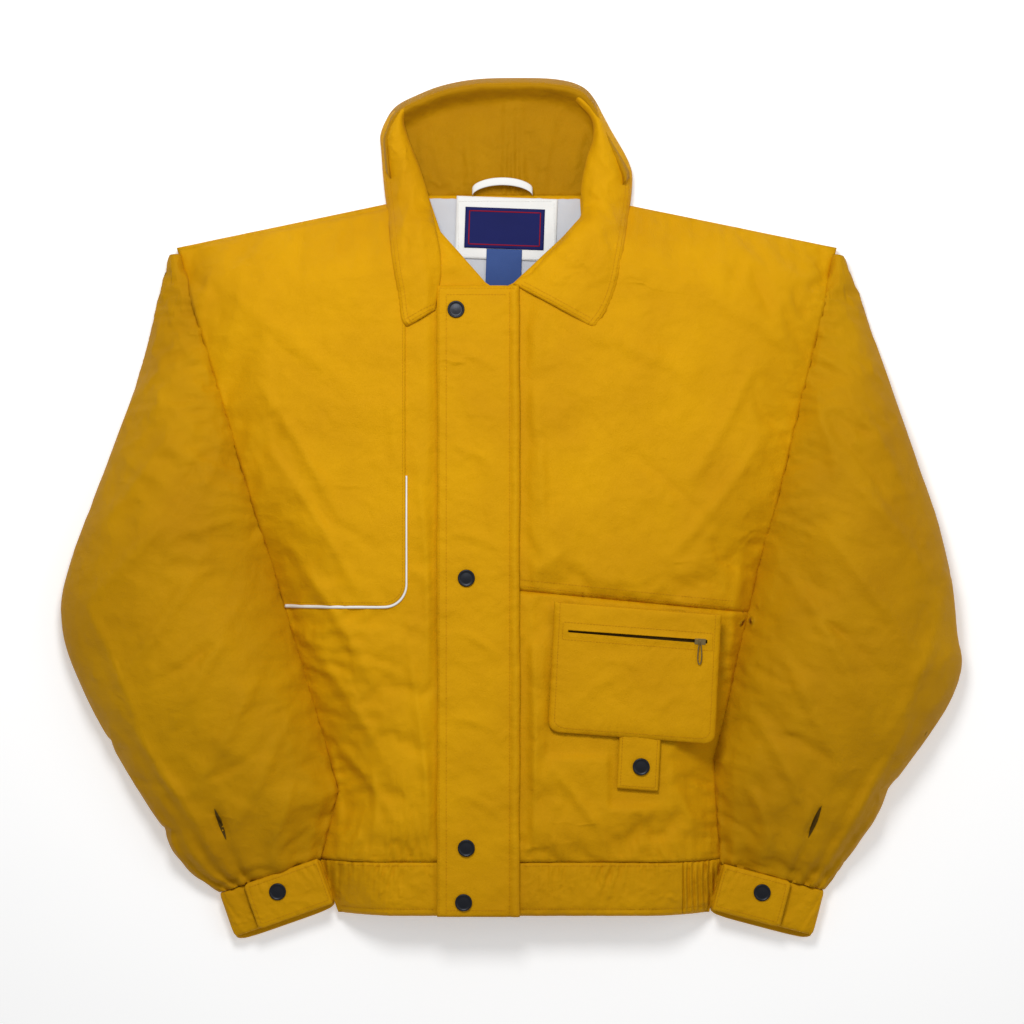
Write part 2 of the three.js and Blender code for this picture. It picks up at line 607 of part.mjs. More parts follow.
// The loop stands clear of the collar between its two sewn feet, so a hook goes under it.
const loopZ = COLLAR_Z + COLLAR_THICKNESS + GAP;
const loopEnd = LOOP.span / 2;
const loopStations = [0, LOOP.foot, LOOP.foot + 5, LOOP.span - LOOP.foot - 5, LOOP.span - LOOP.foot, LOOP.span];
const loopGrid = [0, 1].map((v) =>
  loopStations.map((s) => ({ x: LOOP.x - loopEnd + s, y: NECK_Y + 3 + v * LOOP.width })));
const loopUnder = ({ x }) => {
  const fromEnd = loopEnd - Math.abs(x - LOOP.x);
  return loopZ + along([[LOOP.foot, 0], [LOOP.foot + 5, LOOP.rise]], fromEnd);
};
add("hanger_loop", slab(loopGrid, loopUnder, (point) => loopUnder(point) + LOOP.thickness), WHITE_TAPE);

// ---------------------------------------------------------------- pocket

// The pocket lies level on the left front, turned a little with the cross seam.
function onPocket(geometry) {
  return geometry.rotateZ(POCKET.tilt).translate(POCKET.x, NECK_Y - POCKET.drop, 0);
}

const pocketZ = PLATEAU + POCKET_RISE;
const POCKET_FLAP_THICKNESS = 3;
const slotShape = box(SLOT.inset, SLOT.inset + SLOT.length, -SLOT.down - SLOT.width / 2,
  -SLOT.down + SLOT.width / 2, pocketZ - 1, pocketZ + POCKET_FLAP_THICKNESS + 1);
const pocketOutline = roundedPlate(0, POCKET.width, -POCKET.height, 0, [POCKET.corner, POCKET.corner, 0, 0]);
const pocketPlate = plate(pocketOutline, pocketZ, POCKET_FLAP_THICKNESS);
const pocketRoot = box(0, POCKET.width, -POCKET_ROOT, 0, PLATEAU + 0.8, pocketZ + 1);
add("pocket_flap", onPocket(cut(joined(pocketPlate, pocketRoot), slotShape)), YELLOW);

const tapeZ = pocketZ - GAP - POCKET_TAPE.thickness;
const pocketTape = box(SLOT.inset - POCKET_TAPE.margin, SLOT.inset + SLOT.length + POCKET_TAPE.margin,
  -SLOT.down - POCKET_TAPE.width / 2, -SLOT.down + POCKET_TAPE.width / 2, tapeZ, tapeZ + POCKET_TAPE.thickness);
add("pocket_zip_tape", onPocket(pocketTape), YELLOW);

const sliderRight = SLOT.inset + SLOT.length - 1;
const sliderZ = tapeZ + POCKET_TAPE.thickness + GAP;
const halfSlider = POCKET_SLIDER.width / 2;
add(
  "pocket_slider",
  onPocket(box(sliderRight - POCKET_SLIDER.length, sliderRight, -SLOT.down - halfSlider, -SLOT.down + halfSlider,
    sliderZ, sliderZ + POCKET_SLIDER.height)),
  BRASS,
);
const pocketPullZ = sliderZ + POCKET_SLIDER.height + GAP;
const pullMiddle = sliderRight - POCKET_SLIDER.length / 2;
add(
  "pocket_pull",
  onPocket(box(pullMiddle - POCKET_PULL.width / 2, pullMiddle + POCKET_PULL.width / 2,
    -SLOT.down - POCKET_PULL.length + 2, -SLOT.down + 2, pocketPullZ, pocketPullZ + POCKET_PULL.thickness)),
  BRASS,
);

// The pouch is a tray sewn mouth-up to the front, open along its top edge.
const pouchTop = -POUCH.down;
const pouchEnds = [POUCH.inset, POCKET.width - POUCH.inset];
const pouchZ = PLATEAU + GAP;
const pouchBlock = box(...pouchEnds, pouchTop - POUCH.height, pouchTop, pouchZ, pouchZ + POUCH.space + POUCH.roof);
const pouchHollow = box(pouchEnds[0] + POUCH.wall, pouchEnds[1] - POUCH.wall,
  pouchTop - POUCH.height + POUCH.wall, pouchTop + 1, pouchZ - 1, pouchZ + POUCH.space);
add("pocket_pouch", onPocket(cut(pouchBlock, pouchHollow)), YELLOW);

// The tab hangs from under the flap and snaps to the front.
const tabLow = -POCKET.height - TAB.length + TAB.under;
const pocketSnap = [TAB.along, tabLow + TAB.snapUp];
const tabShape = roundedPlate(TAB.along - TAB.width / 2, TAB.along + TAB.width / 2, tabLow,
  -POCKET.height + TAB.under, [3, 3, 0, 0], [pocketSnap]);
add("pocket_tab", onPocket(plate(tabShape, PLATEAU + TAB.rise, TAB.thickness)), YELLOW);
const snapSpot = new THREE.Vector3(...pocketSnap, 0).applyAxisAngle(new THREE.Vector3(0, 0, 1), POCKET.tilt);
const pocketSnapAt = [POCKET.x + snapSpot.x, NECK_Y - POCKET.drop + snapSpot.y];
addSnap("pocket", pocketSnapAt, PLATEAU, PLATEAU + TAB.rise, PLATEAU + TAB.rise + TAB.thickness);

// ---------------------------------------------------------------- sleeves

// Width and drop of a sleeve at a share of its length; the last station is the cuff seam.
function sleeveCurve(side) {
  const end = [1, CUFF_WIDTH * Math.cos(side.tilt), CUFF_WIDTH * Math.sin(side.tilt)];
  return new THREE.CatmullRomCurve3([...side.sleeve, end].map((station) => new THREE.Vector3(...station)));
}

function sleeveRows(side) {
  const curve = sleeveCurve(side).getPoints(120);
  const foot = side.foldDrop / sleeveLength(side);
  const shares = [0, 0.05, 0.1, 0.17, 0.25, 0.34, 0.43, 0.52, 0.62, 0.72, 0.81, foot, 0.96, 1];
  return shares.map((share) => {
    const next = Math.max(1, curve.findIndex((p) => p.x >= share - 1e-9));
    const [from, to] = [curve[next - 1], curve[next]];
    const t = clamp((share - from.x) / (to.x - from.x), 0, 1);
    const y = SHOULDER_Y - 6 * (1 - share) - share * sleeveLength(side);
    return { share, y, width: lerp(from.y, to.y, t), drop: lerp(from.z, to.z, t) };
  });
}

const SLEEVE_COLUMNS = [0, 0.05, 0.13, 0.26, 0.42, 0.58, 0.74, 0.87, 0.95, 1];
const fullness = (share) => along([[0, 0.1], [0.1, 0.3], [0.25, 0.75], [0.45, 1], [0.7, 1], [0.88, 0.6], [1, 0.2]], share);

function sleeveGrid(side) {
  return sleeveRows(side).map(({ share, y, width, drop }) =>
    SLEEVE_COLUMNS.map((u) => {
      const reach = sideReach(side, y) + SLEEVE_GAP + u * width;
      const arch = SLEEVE_CROWN * fullness(share) * (4 * u * (1 - u)) ** 0.6;
      return { x: side.sign * reach, y: y - u * drop, space: arch + ARM_SPACE * armOpen(y) * (1 - u) ** 4 };
    }));
}

function addSleeve(side) {
  const grid = sleeveGrid(side);
  const above = (height) => (point) => height + point.space;
  const wadding = SLEEVE_UNDER + GAP;
  const shell = wadding + SLEEVE_WADDING + GAP;
  add(`sleeve_${side.name}_under`, slab(grid, level(0), level(SLEEVE_UNDER)), YELLOW);
  add(`sleeve_${side.name}_wadding`, slab(grid, above(wadding), above(wadding + SLEEVE_WADDING)), WADDING_WHITE);
  add(`sleeve_${side.name}_upper`, slab(grid, above(shell), above(shell + SHELL)), YELLOW);
}

// ---------------------------------------------------------------- cuffs

// Cuff frame: x across from the inner edge, y down the cuff, z up.
function onCuff(side, geometry) {
  const across = new THREE.Vector3(side.sign * Math.cos(side.tilt), -Math.sin(side.tilt), 0);
  const down = new THREE.Vector3(-side.sign * Math.sin(side.tilt), -Math.cos(side.tilt), 0);
  const origin = new THREE.Vector3(side.sign * (side.cuff + SLEEVE_GAP), cuffY(side), 0);
  const matrix = new THREE.Matrix4().makeBasis(across, down, new THREE.Vector3(0, 0, 1));
  const start = origin.clone().addScaledVector(down, BAND_GAP);
  const placed = mergeVertices(geometry.clone().deleteAttribute("normal").deleteAttribute("uv"), 1e-4);
  placed.applyMatrix4(matrix.setPosition(start));
  if (matrix.determinant() < 0) turnInsideOut(placed);
  return placed;
}

const TAB_Z = CUFF_HEIGHT + 2.2;

function addCuff(side) {
  const seat = TAB_Z - 0.5;
  const floor = box(0, CUFF_WIDTH, 0, CUFF_DEPTH, 0, CUFF_WALL);
  const inner = box(0, CUFF_WALL, 0, CUFF_DEPTH, 0, seat);
  const outer = box(CUFF_WIDTH - CUFF_WALL, CUFF_WIDTH, 0, CUFF_DEPTH, 0, CUFF_HEIGHT);
  const underlap = box(CUFF_WIDTH - UNDERLAP, CUFF_WIDTH, 0, CUFF_DEPTH, CUFF_HEIGHT - 3, CUFF_HEIGHT);
  add("cuff_" + side.name, onCuff(side, joined(floor, inner, outer, underlap)), YELLOW);
  const snap = [side.snapAcross, SNAP_DOWN_CUFF];
  const tab = roundedPlate(TAB_INSET, side.tabEnd, 0, CUFF_DEPTH, [0, 4, 4, 0], [snap]);
  add("cuff_tab_" + side.name, onCuff(side, plate(tab, TAB_Z, TAB_THICKNESS)), YELLOW);
  const [cos, sin] = [Math.cos(side.tilt), Math.sin(side.tilt)];
  const at = [
    side.sign * (side.cuff + SLEEVE_GAP + snap[0] * cos - (snap[1] + BAND_GAP) * sin),
    cuffY(side) - snap[0] * sin - (snap[1] + BAND_GAP) * cos,
  ];
  addSnap("cuff_" + side.name, at, CUFF_HEIGHT, TAB_Z, TAB_Z + TAB_THICKNESS);
}

for (const side of [RIGHT, LEFT]) {
  addSleeve(side);
  addCuff(side);
}

// ---------------------------------------------------------------- origin

const whole = new THREE.Box3().setFromObject(jacket);
const middle = whole.getCenter(new THREE.Vector3());
jacket.position.set(-middle.x, -middle.y, -whole.min.z);

export default jacket;
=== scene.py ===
# %% [markdown]
# # A padded blouson jacket, laid flat
# The jacket lies on its back with its sleeves beside it. The imported frame gives every piece's place and how it moves.
# Here each soft piece is cut like its paper pattern, as a fine grid of points; the fronts and sleeves are blown up a
# little by a cloth simulation, and the pieces get their seams, stitches and cloth.

import math

import bmesh
import bpy
import numpy as np
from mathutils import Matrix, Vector
from mathutils.bvhtree import BVHTree


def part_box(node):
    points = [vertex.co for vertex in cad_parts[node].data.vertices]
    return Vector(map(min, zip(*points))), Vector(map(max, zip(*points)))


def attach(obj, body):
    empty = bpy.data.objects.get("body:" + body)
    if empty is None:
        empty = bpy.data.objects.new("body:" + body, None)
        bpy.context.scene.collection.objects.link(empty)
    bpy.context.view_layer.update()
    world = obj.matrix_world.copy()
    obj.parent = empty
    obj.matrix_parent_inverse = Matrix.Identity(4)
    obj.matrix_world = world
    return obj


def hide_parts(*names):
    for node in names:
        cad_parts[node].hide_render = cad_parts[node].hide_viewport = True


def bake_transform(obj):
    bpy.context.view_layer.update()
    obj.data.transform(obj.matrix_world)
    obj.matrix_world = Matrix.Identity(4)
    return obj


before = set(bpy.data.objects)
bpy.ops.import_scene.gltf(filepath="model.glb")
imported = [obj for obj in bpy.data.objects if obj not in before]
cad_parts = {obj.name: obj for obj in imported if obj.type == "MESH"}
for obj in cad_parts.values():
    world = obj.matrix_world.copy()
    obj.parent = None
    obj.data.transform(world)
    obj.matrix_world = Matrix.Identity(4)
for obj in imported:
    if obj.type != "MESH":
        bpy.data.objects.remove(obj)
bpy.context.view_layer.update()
MM = 0.001
low = {node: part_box(node)[0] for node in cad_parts}
high = {node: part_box(node)[1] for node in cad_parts}

# %% [markdown]
# ## The pattern
# Sizes are in millimetres, as a cutter would write them. The storm flap's box says where the
# pattern lies in the frame, and the heights of the layers are read from the frame too.

# %% Pattern sizes
NECK_Y, HEM_Y, BAND_Y = 293.5, -373.5, -323.5
SHOULDER_Y = 244.5
FLAP_LEFT, FLAP_RIGHT = -68.0, 8.0
ZIP_X, ZIP_HALF = -12.0, 6.0
SEAM_ZIP_Y, SEAM_SIDE_Y = -72.5, -94.5
VEE_Y = 207.5
SLEEVE_LENGTH = {"right": 567.0, "left": 572.0}

shift = np.array([low["storm_flap"][0] / MM - FLAP_LEFT, low["storm_flap"][1] / MM - HEM_Y, 0.0])
FACE = high["front_right_shell"][2] / MM
FLAP_TOP = high["storm_flap"][2] / MM
BACK_TOP = high["back_lining"][2] / MM
SLEEVE_TOP = high["sleeve_right_upper"][2] / MM
COLLAR_TOP = high["collar_back"][2] / MM
SIDES = {
    "right": dict(sign=-1, fold=((-322.5, 177), (-260.5, 160), (244.5, 311)), tilt=math.radians(19.3), neck=77,
                  vee=((207.5, 18), (208.5, 22), (257.5, 65), (293.5, 77))),
    "left": dict(sign=1, fold=((-327.5, 195), (-230.5, 189), (244.5, 303)), tilt=math.radians(14.7), neck=64,
                 vee=((207.5, -6), (208.5, 1), (249.5, 45), (272.5, 65), (293.5, 64))),
}
SLEEVES = {
    "right": ((0, 7.5, 1), (0.2, 68, 5), (0.44, 162, 15), (0.56, 199, 20), (0.68, 197, 29), (0.88, 168, 37),
              (0.95, 134, 38), (1, 93.4, 32.7)),
    "left": ((0, 7, 2), (0.2, 74, 9), (0.44, 156, 15), (0.55, 184, 29), (0.66, 200, 26), (0.84, 163, 31),
             (0.92, 130, 31), (1, 95.8, 25.1)),
}
print(f"face of the fronts at {FACE:.1f} mm, pattern shifted by {shift[0]:.2f}, {shift[1]:.2f} mm")


# %% Curves of the pattern
def along(points, at):
    """Values on straight lines through (station, value) points."""
    stations, values = zip(*points)
    return np.interp(at, stations, values)


def smooth_curve(points, count):
    """A Catmull-Rom curve through the points, with count samples evenly spaced by knot."""
    p = np.array(points, float)
    p = np.vstack([2 * p[0] - p[1], p, 2 * p[-1] - p[-2]])
    t = np.linspace(0, len(p) - 3, count)
    i = np.minimum(t.astype(int), len(p) - 4)
    f = (t - i)[:, None]
    a, b, c, d = p[i], p[i + 1], p[i + 2], p[i + 3]
    return 0.5 * (2 * b + (c - a) * f + (2 * a - 5 * b + 4 * c - d) * f**2 + (3 * b - a - 3 * c + d) * f**3)


def swell(t):
    t = np.clip(t, 0, 1)
    return t * (2 - t)


def ease(t):
    t = np.clip(t, 0, 1)
    return t * t * (3 - 2 * t)


def side_reach(side, y):
    """How far the body's side stands from x = 0 at height y."""
    s = SIDES[side]
    cuff_y, cuff = s["fold"][0]
    return np.where(np.asarray(y) < cuff_y, cuff - (cuff_y - y) * math.tan(s["tilt"]), along(s["fold"], y))


def centre_reach(side, y):
    return along(((-1000, SIDES[side]["vee"][0][1]),) + SIDES[side]["vee"], y)


def arm_open(y):
    """1 where a sleeve is sewn into the armhole, 0 below it."""
    return ease((np.asarray(y) + 60) / 70) * (1 - ease((np.asarray(y) - 190) / 40))


def shoulder_y(x):
    return along(((-311, SHOULDER_Y), (-77, NECK_Y), (64, NECK_Y), (303, SHOULDER_Y)), x)


EDGE_Z, ARM_EDGE_Z = 12.0, 33.0


def face_z(x, y):
    """Height of the fronts' face: level in the middle, rolled down to the side and shoulder seams."""
    reach = np.where(x < 0, side_reach("right", y), side_reach("left", y))
    edge = EDGE_Z + (ARM_EDGE_Z - EDGE_Z) * arm_open(y)
    to_side = swell((reach - np.abs(x)) / 60)
    to_shoulder = swell((shoulder_y(x) - y) / 70)
    return EDGE_Z + (edge + (FACE - edge) * to_side - EDGE_Z) * to_shoulder


# %% [markdown]
# ## From points to meshes
# A sewn panel is a thin sheet with an outside and an inside, closed round its rim. All the work on
# its shape is done on the outside's grid of points; the inside follows at the cloth's thickness.

# %% Mesh helpers
def lift(points):
    """Pattern millimetres to frame metres."""
    return (np.asarray(points, float) + shift) * MM


def make_object(name, vertices, faces, smooth=True, solid=True):
    """A mesh piece from pattern points. A solid one gets its faces turned outwards."""
    mesh = bpy.data.meshes.new(name)
    mesh.from_pydata([tuple(v) for v in lift(vertices)], [], [tuple(int(i) for i in f) for f in faces])
    mesh.validate()
    if solid:
        shape = bmesh.new()
        shape.from_mesh(mesh)
        bmesh.ops.recalc_face_normals(shape, faces=shape.faces)
        shape.to_mesh(mesh)
        shape.free()
    obj = bpy.data.objects.new(name, mesh)
    bpy.context.scene.collection.objects.link(obj)
    if smooth:
        mesh.shade_smooth()
    return obj


def grid_faces(rows, columns, closed=False):
    """Quads over a grid of rows by columns; closed joins the last column to the first."""
    r, c = np.meshgrid(np.arange(rows - 1), np.arange(columns if closed else columns - 1), indexing="ij")
    r, c = r.ravel(), c.ravel()
    d = (c + 1) % columns
    return np.stack([r * columns + c, r * columns + d, (r + 1) * columns + d, (r + 1) * columns + c], axis=1)


def normals_of(grid):
    """Unit normals of a grid of points, pointing up or out."""
    du, dv = np.gradient(grid, axis=1), np.gradient(grid, axis=0)
    n = np.cross(du, dv)
    n /= np.maximum(np.linalg.norm(n, axis=2, keepdims=True), 1e-9)
    return n if n[..., 2].mean() >= 0 else -n


def sheet_object(name, grid, thickness=2.0, under=None):
    """A closed sheet: the grid is its outside, and the inside is thickness below or a given grid."""
    rows, columns = grid.shape[:2]
    if under is None:
        under = grid - np.array([0, 0, thickness])
    vertices = np.vstack([grid.reshape(-1, 3), under.reshape(-1, 3)])
    top = grid_faces(rows, columns)
    count = rows * columns
    bottom = top[:, ::-1] + count
    rim = np.concatenate([
        np.arange(columns), columns * np.arange(1, rows) + columns - 1,
        count - 2 - np.arange(columns - 1), columns * np.arange(rows - 2, 0, -1)])
    following = np.roll(rim, -1)
    walls = np.stack([rim, rim + count, following + count, following], axis=1)
    return make_object(name, vertices, np.vstack([top, bottom, walls]))


def ruled(from_edge, to_edge, columns):
    """A grid from one edge to another: rows follow the edges, columns cross between them."""
    t = np.linspace(0, 1, columns)[None, :, None]
    return from_edge[:, None, :] * (1 - t) + to_edge[:, None, :] * t


# %% Wrinkles made one by one
def ripple(x, y, scale, seed, octaves=3):
    """A soft uneven field between about -1 and 1, of the given scale in millimetres."""
    rng = np.random.default_rng(seed)
    total = np.zeros_like(x)
    size = 1.0
    for octave in range(octaves):
        for _ in range(6):
            angle, phase = rng.uniform(0, 2 * np.pi, 2)
            k = 2 * np.pi / (scale * rng.uniform(0.75, 1.3) / 2**octave)
            total += size * np.sin(k * (x * np.cos(angle) + y * np.sin(angle)) + phase) / 3
        size *= 0.5
    return total / 1.6


def crumple(x, y, scale, seed, height):
    """Crisp creases of thin cloth: narrow ridges where a wandering field changes sign."""
    field = ripple(x, y, scale, seed, octaves=3)
    along_it = ripple(x, y, scale * 1.7, seed + 500, octaves=2)
    ridge = np.exp(-np.abs(field) / 0.10) * np.clip(0.35 + along_it, 0, 1)
    return height * (ridge - 0.18)


def fold(grid, start, end, width, height, bow=0.0):
    """A ridge (or with a negative height a crease) drawn from start to end, tapering at both ends."""
    a, b = np.array(start, float), np.array(end, float)
    axis = (b - a) / np.linalg.norm(b - a)
    offset = grid[..., :2] - a
    s = offset @ axis / np.linalg.norm(b - a)
    across = offset @ np.array([-axis[1], axis[0]]) - bow * 4 * s * (1 - s)
    profile = np.exp(-((across / width) ** 2)) * np.sin(np.pi * np.clip(s, 0, 1)) ** 0.7
    grid = grid.copy()
    grid[..., 2] += height * profile
    return grid


def pucker(distance, run, seed, width=14.0, pitch=11.0, height=0.9):
    """The small gathers that a seam draws into the cloth beside it."""
    rng = np.random.default_rng(seed)
    phase = rng.uniform(0, 6.28, 3)
    lean = 0.35 * distance * np.sin(run / 31 + phase[1])
    wave = np.sin((run + lean) * 2 * np.pi / pitch + phase[0] + 2.6 * np.sin(run / 23 + phase[1]) + 1.7 * np.sin(run / 9.7))
    wave = wave + 0.5 * np.sin(run * 2 * np.pi / (pitch * 0.55) + phase[2] + 2.1 * np.sin(run / 14))
    strength = 0.55 + 0.45 * np.sin(run / 27 + phase[2]) * np.sin(run / 11 + phase[0])
    reach = width * (0.75 + 0.5 * np.sin(run / 17 + phase[1]) ** 2)
    return height * strength * np.exp(-np.abs(distance) / reach) * wave


# %% [markdown]
# ## Blowing up the padding
# A padded panel is bigger than the frame that its seams hold it in, so it swells and wrinkles.
# Blender's cloth does that: the points along the seams are pinned, the cloth grows by a few per
# cent, and air pressure pushes it out. Gravity is off, and no point may move further than a cap.

# %% The cloth step
def billow(grid, pins, pressure=3.0, grow=0.03, frames=18, cap=9.0, closed=False, bending=0.4, floor=None):
    """Runs the cloth on a grid and returns its new points. pins is 1 where a seam holds the cloth."""
    rows, columns = grid.shape[:2]
    faces = grid_faces(rows, columns, closed)
    points = grid.reshape(-1, 3)
    corners = points[faces]
    normal = np.cross(corners[:, 2] - corners[:, 0], corners[:, 3] - corners[:, 1])
    facing = (normal * (corners.mean(axis=1) - points.mean(axis=0))).sum() if closed else normal[:, 2].sum()
    if facing < 0:
        faces = faces[:, ::-1]
    obj = make_object("cloth_at_work", points, faces, solid=False)
    group = obj.vertex_groups.new(name="seams")
    for index, weight in enumerate(pins.ravel()):
        if weight > 0:
            group.add([index], float(weight), "REPLACE")
    cloth = obj.modifiers.new("Cloth", "CLOTH")
    s = cloth.settings
    s.quality = 4
    s.mass = 0.2
    s.tension_stiffness = s.compression_stiffness = 12
    s.shear_stiffness = 6
    s.bending_stiffness = bending
    s.shrink_min = -grow
    s.vertex_group_mass = "seams"
    s.use_pressure = True
    s.uniform_pressure_force = pressure
    s.effector_weights.gravity = 0
    cloth.collision_settings.use_collision = False
    cloth.point_cache.frame_end = frames + 1
    for number in range(1, frames + 1):
        bpy.context.scene.frame_set(number)
    done = obj.evaluated_get(bpy.context.evaluated_depsgraph_get())
    moved = np.empty(rows * columns * 3)
    done.data.vertices.foreach_get("co", moved)
    bpy.data.objects.remove(obj)
    bpy.context.scene.frame_set(1)
    moved = moved.reshape(rows, columns, 3) / MM - shift
    step = moved - grid
    length = np.linalg.norm(step, axis=2, keepdims=True)
    step *= np.minimum(1, cap / np.maximum(length, 1e-9))
    result = grid + step
    if floor is not None:
        result[..., 2] = np.maximum(result[..., 2], floor)
    return result


# %% [markdown]
# ## Cloth, thread and metal
# Effects that several materials share are node groups: a crumple for crisp thin cloth over
# padding, and a patchy fade. Each material keeps its own shader and its own constant values.

# %% Shared shader effects
def node_group(name, inputs, outputs):
    tree = bpy.data.node_groups.new(name, "ShaderNodeTree")
    for label, kind, value in inputs:
        socket = tree.interface.new_socket(label, in_out="INPUT", socket_type=kind)
        socket.default_value = value
    for label, kind in outputs:
        tree.interface.new_socket(label, in_out="OUTPUT", socket_type=kind)
    return tree, tree.nodes.new("NodeGroupInput"), tree.nodes.new("NodeGroupOutput")


def add_node(tree, kind, settings=None, **values):
    made = tree.nodes.new(kind)
    for key, value in (settings or {}).items():
        setattr(made, key, value)
    for key, value in values.items():
        made.inputs[key.replace("_", " ")].default_value = value
    return made


def make_crumple():
    """Fine crinkles of thin cloth: long soft creases, short crisp ones, and the weave."""
    tree, into, out = node_group("Crumpled cloth", [
        ("Vector", "NodeSocketVector", (0, 0, 0)), ("Crease size", "NodeSocketFloat", 60.0),
        ("Strength", "NodeSocketFloat", 0.5)], [("Normal", "NodeSocketVector"), ("Crease", "NodeSocketFloat")])
    link = tree.links.new
    warp = add_node(tree, "ShaderNodeTexNoise", Scale=22.0, Detail=2.0)
    push = add_node(tree, "ShaderNodeVectorMath", {"operation": "MULTIPLY_ADD"})
    push.inputs[1].default_value = (0.03, 0.03, 0.03)
    creases = add_node(tree, "ShaderNodeTexNoise", {"noise_type": "RIDGED_MULTIFRACTAL", "normalize": True},
                       Detail=4.0, Roughness=0.55)
    soft = add_node(tree, "ShaderNodeTexNoise", Scale=38.0, Detail=3.0)
    weave = add_node(tree, "ShaderNodeTexNoise", Scale=1400.0, Detail=1.0)
    patches = add_node(tree, "ShaderNodeTexNoise", Scale=13.0, Detail=2.0)
    patch_span = add_node(tree, "ShaderNodeMapRange", From_Min=0.34, From_Max=0.60)
    link(into.outputs["Vector"], patches.inputs["Vector"])
    link(patches.outputs[0], patch_span.inputs["Value"])
    streaks = None
    for turn, size in ((0.5, 50.0), (-0.9, 66.0), (1.35, 42.0), (0.0, 85.0)):
        place = add_node(tree, "ShaderNodeMapping", Rotation=(0, 0, turn), Scale=(0.16, 1.0, 1.0))
        line = add_node(tree, "ShaderNodeTexNoise", {"noise_type": "RIDGED_MULTIFRACTAL", "normalize": True},
                        Scale=size, Detail=1.5, Roughness=0.4)
        sharp = add_node(tree, "ShaderNodeMath", {"operation": "POWER"})
        sharp.inputs[1].default_value = 6.0
        link(push.outputs[0], place.inputs["Vector"])
        link(place.outputs[0], line.inputs["Vector"])
        link(line.outputs[0], sharp.inputs[0])
        if streaks is None:
            streaks = sharp
        else:
            total = add_node(tree, "ShaderNodeMath", {"operation": "ADD"})
            link(streaks.outputs[0], total.inputs[0])
            link(sharp.outputs[0], total.inputs[1])
            streaks = total
    masked = add_node(tree, "ShaderNodeMath", {"operation": "MULTIPLY"})
    link(streaks.outputs[0], masked.inputs[0])
    link(patch_span.outputs[0], masked.inputs[1])
    softer = add_node(tree, "ShaderNodeMath", {"operation": "MULTIPLY"})
    softer.inputs[1].default_value = 0.42
    mix = add_node(tree, "ShaderNodeMath", {"operation": "MULTIPLY_ADD"})
    mix.inputs[1].default_value = 0.18
    fine = add_node(tree, "ShaderNodeMath", {"operation": "MULTIPLY_ADD"})
    fine.inputs[1].default_value = 0.085
    bump = add_node(tree, "ShaderNodeBump", Distance=0.0068)
    link(into.outputs["Vector"], warp.inputs["Vector"])
    link(warp.outputs["Color"], push.inputs[0])
    link(into.outputs["Vector"], push.inputs[2])
    link(push.outputs[0], creases.inputs["Vector"])
    link(into.outputs["Crease size"], creases.inputs["Scale"])
    link(into.outputs["Vector"], soft.inputs["Vector"])
    link(into.outputs["Vector"], weave.inputs["Vector"])
    link(creases.outputs[0], mix.inputs[0])
    link(soft.outputs[0], softer.inputs[0])
    link(softer.outputs[0], mix.inputs[2])
    link(weave.outputs[0], fine.inputs[0])
    link(mix.outputs[0], fine.inputs[2])
    relief = add_node(tree, "ShaderNodeMath", {"operation": "MULTIPLY_ADD"})
    relief.inputs[1].default_value = 1.45
    link(masked.outputs[0], relief.inputs[0])
    link(fine.outputs[0], relief.inputs[2])
    link(relief.outputs[0], bump.inputs["Height"])
    link(into.outputs["Strength"], bump.inputs["Strength"])
    link(bump.outputs[0], out.inputs["Normal"])
    link(creases.outputs[0], out.inputs["Crease"])
    return tree


def make_fade():
    """Patches where cloth has faded or taken dirt, as a mask from 0 to 1."""
    tree, into, out = node_group("Patchy fade", [
        ("Vector", "NodeSocketVector", (0, 0, 0)), ("Patch size", "NodeSocketFloat", 9.0)],
        [("Mask", "NodeSocketFloat")])
    patches = add_node(tree, "ShaderNodeTexNoise", Detail=4.0, Roughness=0.6)
    span = add_node(tree, "ShaderNodeMapRange", From_Min=0.32, From_Max=0.7)
    tree.links.new(into.outputs["Vector"], patches.inputs["Vector"])
    tree.links.new(into.outputs["Patch size"], patches.inputs["Scale"])
    tree.links.new(patches.outputs[0], span.inputs["Value"])
    tree.links.new(span.outputs[0], out.inputs["Mask"])
    return tree


def make_scuffs():
    """Fine wear on metal: a roughness that varies about a middle value, and a slight relief."""
    tree, into, out = node_group("Metal scuffs", [
        ("Vector", "NodeSocketVector", (0, 0, 0)), ("Roughness", "NodeSocketFloat", 0.4)],
        [("Roughness", "NodeSocketFloat"), ("Normal", "NodeSocketVector")])
    scuffs = add_node(tree, "ShaderNodeTexNoise", Scale=900.0, Detail=3.0)
    vary = add_node(tree, "ShaderNodeMapRange", To_Min=0.8, To_Max=1.25)
    scale = add_node(tree, "ShaderNodeMath", {"operation": "MULTIPLY"})
    bump = add_node(tree, "ShaderNodeBump", Strength=0.15, Distance=0.0002)
    tree.links.new(into.outputs["Vector"], scuffs.inputs["Vector"])
    tree.links.new(scuffs.outputs[0], vary.inputs["Value"])
    tree.links.new(vary.outputs[0], scale.inputs[0])
    tree.links.new(into.outputs["Roughness"], scale.inputs[1])
    tree.links.new(scuffs.outputs[0], bump.inputs["Height"])
    tree.links.new(scale.outputs[0], out.inputs["Roughness"])
    tree.links.new(bump.outputs[0], out.inputs["Normal"])
    return tree


CRUMPLE, FADE, SCUFFS = make_crumple(), make_fade(), make_scuffs()


